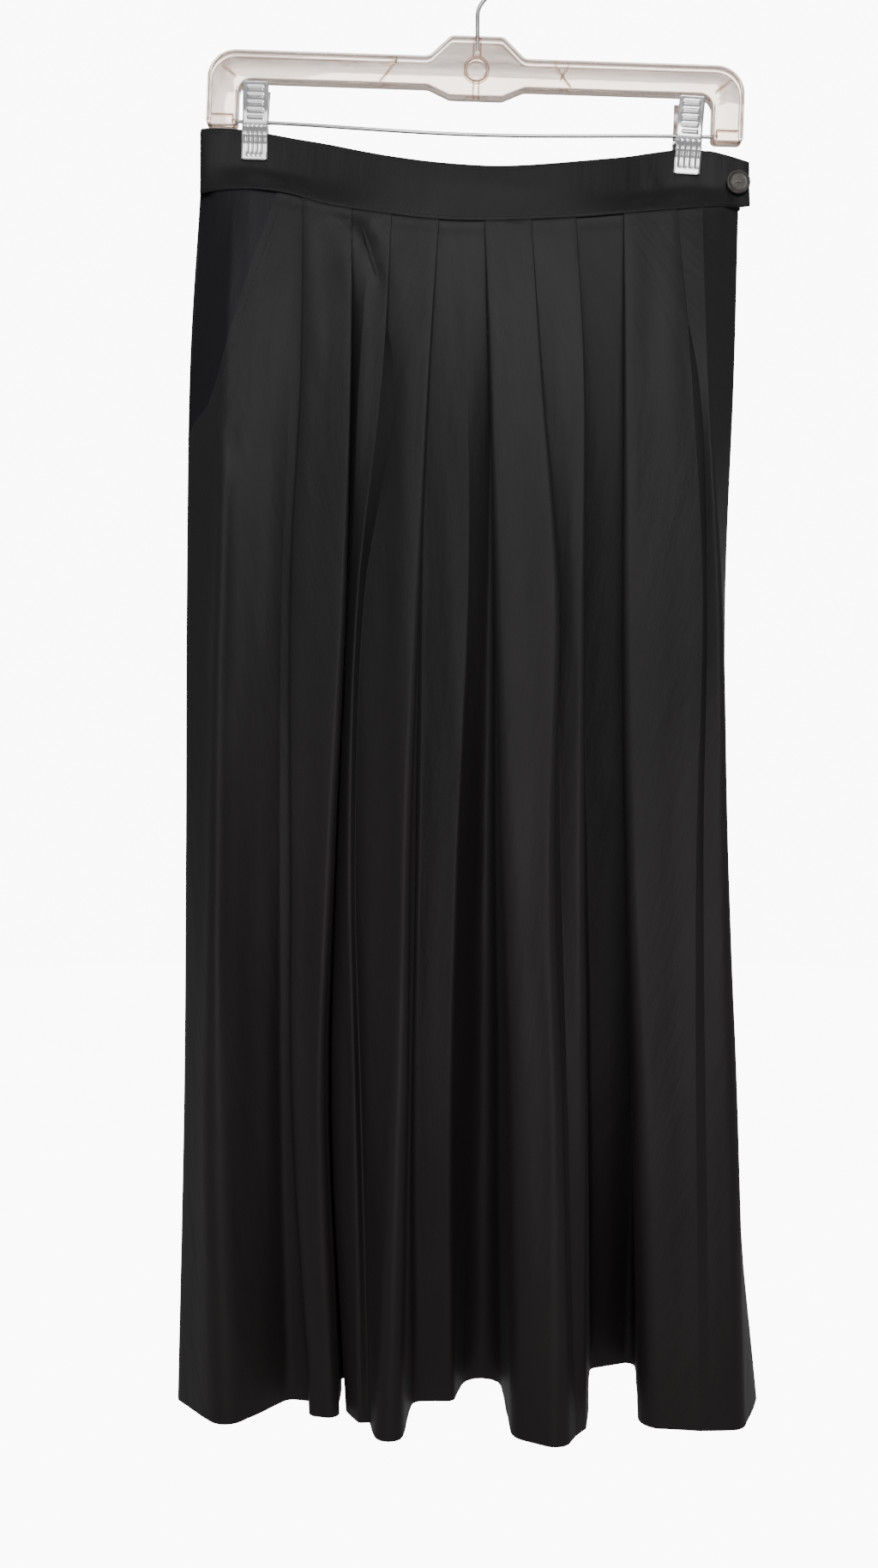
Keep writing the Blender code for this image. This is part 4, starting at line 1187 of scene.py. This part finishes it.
def make_spring(clip):
    """Small coil on the rod between a clip's ears."""
    turns = 7
    steps = turns * 18
    path = []
    for k in range(steps + 1):
        angle = 2 * math.pi * turns * k / steps
        x = 4.6 * (2 * k / steps - 1)
        path.append(Vector((x, 1.95 * math.cos(angle), 1.95 * math.sin(angle))) * MM)
    builder = bmesh.new()
    add_tube(builder, path, 0.4, 8)
    mesh = finish_mesh(f"{clip.name}_spring", builder, CHROME, 60)
    mesh.transform(clip_place(clip))
    add_piece(mesh, "chrome")


# Stage

def make_stage():
    """A wide pale floor well below the hem."""
    builder = bmesh.new()
    bmesh.ops.create_circle(builder, cap_ends=True, segments=96, radius=FLOOR_RADIUS,
                            matrix=Matrix.Translation((0.0, 0.0, FLOOR_Z)))
    floor = add_object("pale_floor", finish_mesh("pale_floor", builder, floor_material()))
    floor.visible_diffuse = False
    floor.visible_glossy = False
    floor.visible_transmission = False


def add_light(name, place, target, size, power, colour, spread=180):
    data = bpy.data.lights.new(name, "AREA")
    data.spread = math.radians(spread)
    data.shape = "RECTANGLE"
    data.size, data.size_y = size
    data.energy = power
    data.color = colour
    item = add_object(name, data)
    item.location = place
    item.rotation_euler = (Vector(target) - Vector(place)).to_track_quat("-Z", "Y").to_euler()


def make_lights():
    """Soft boxes: name, place, target, size, watts and colour."""
    add_light("key", (0.12, -1.1, 0.24), (0.03, 0.0, -0.35), (0.5, 0.35), 1.2, (1.0, 0.97, 0.95), 100)
    add_light("fill", (0.0, -1.35, -0.68), (0.0, 0.0, -0.65), (0.55, 0.55), 2.9, (1.0, 0.965, 0.95))
    add_light("left_fill", (-0.42, -1.05, 0.30), (-0.1, 0.0, -0.2), (0.42, 0.42), 1.1, (0.97, 0.98, 1.0))
    add_light("overhead", (0.0, -0.75, 0.62), (0.0, 0.0, -0.1), (1.0, 0.22), 0.8, (1.0, 1.0, 1.0))
    add_light("rear_fill", (0.3, 1.9, 0.2), (0.0, 0.0, -0.5), (1.2, 1.2), 12.0, (0.97, 0.98, 1.0))


def make_world():
    """Bright where it is seen; through the clear hanger bright before and behind, darker to the sides."""
    n = Nodes(bpy.data.worlds.new("studio"), "Background")
    ray = n.add("ShaderNodeLightPath").outputs
    split = n.add("ShaderNodeSeparateXYZ", {"Vector": n.coords("Generated")})
    share = THROUGH / SURROUND
    facing = n.add("ShaderNodeMapRange", {
        "Value": n.maths("ABSOLUTE", split.outputs["Y"]), "From Min": 0.70, "From Max": 0.96,
        "To Min": 0.05 * share, "To Max": share}, interpolation_type="SMOOTHSTEP")
    through = n.maths("MULTIPLY", ray["Is Transmission Ray"], facing.outputs["Result"])
    seen = n.maths("MAXIMUM", ray["Is Camera Ray"], through)
    dim = n.maths("MULTIPLY_ADD", ray["Is Glossy Ray"], AMBIENT_GLOSS - AMBIENT, AMBIENT)
    n.feed(Color=(0.99, 0.992, 1.0, 1.0), Strength=n.maths("MULTIPLY_ADD", seen, SURROUND - AMBIENT, dim))
    bpy.context.scene.world = n.owner


def make_camera():
    data = bpy.data.cameras.new("photo_view")
    data.lens = CAMERA_LENS
    data.sensor_width = 36.0
    data.clip_start = 0.05
    item = add_object("photo_view", data)
    item.location = CAMERA_PLACE
    item.rotation_euler = (math.pi / 2, 0.0, 0.0)
    bpy.context.scene.camera = item


make_camera()
make_stage()
make_lights()
make_world()
make_hanger()
make_hook()
make_rod()
for each_clip in CLIPS:
    make_jaw(each_clip, -1)
    make_jaw(each_clip, 1)
    make_spring(each_clip)
make_skirt()
make_waistband()
make_button()

bpy.context.view_layer.update()
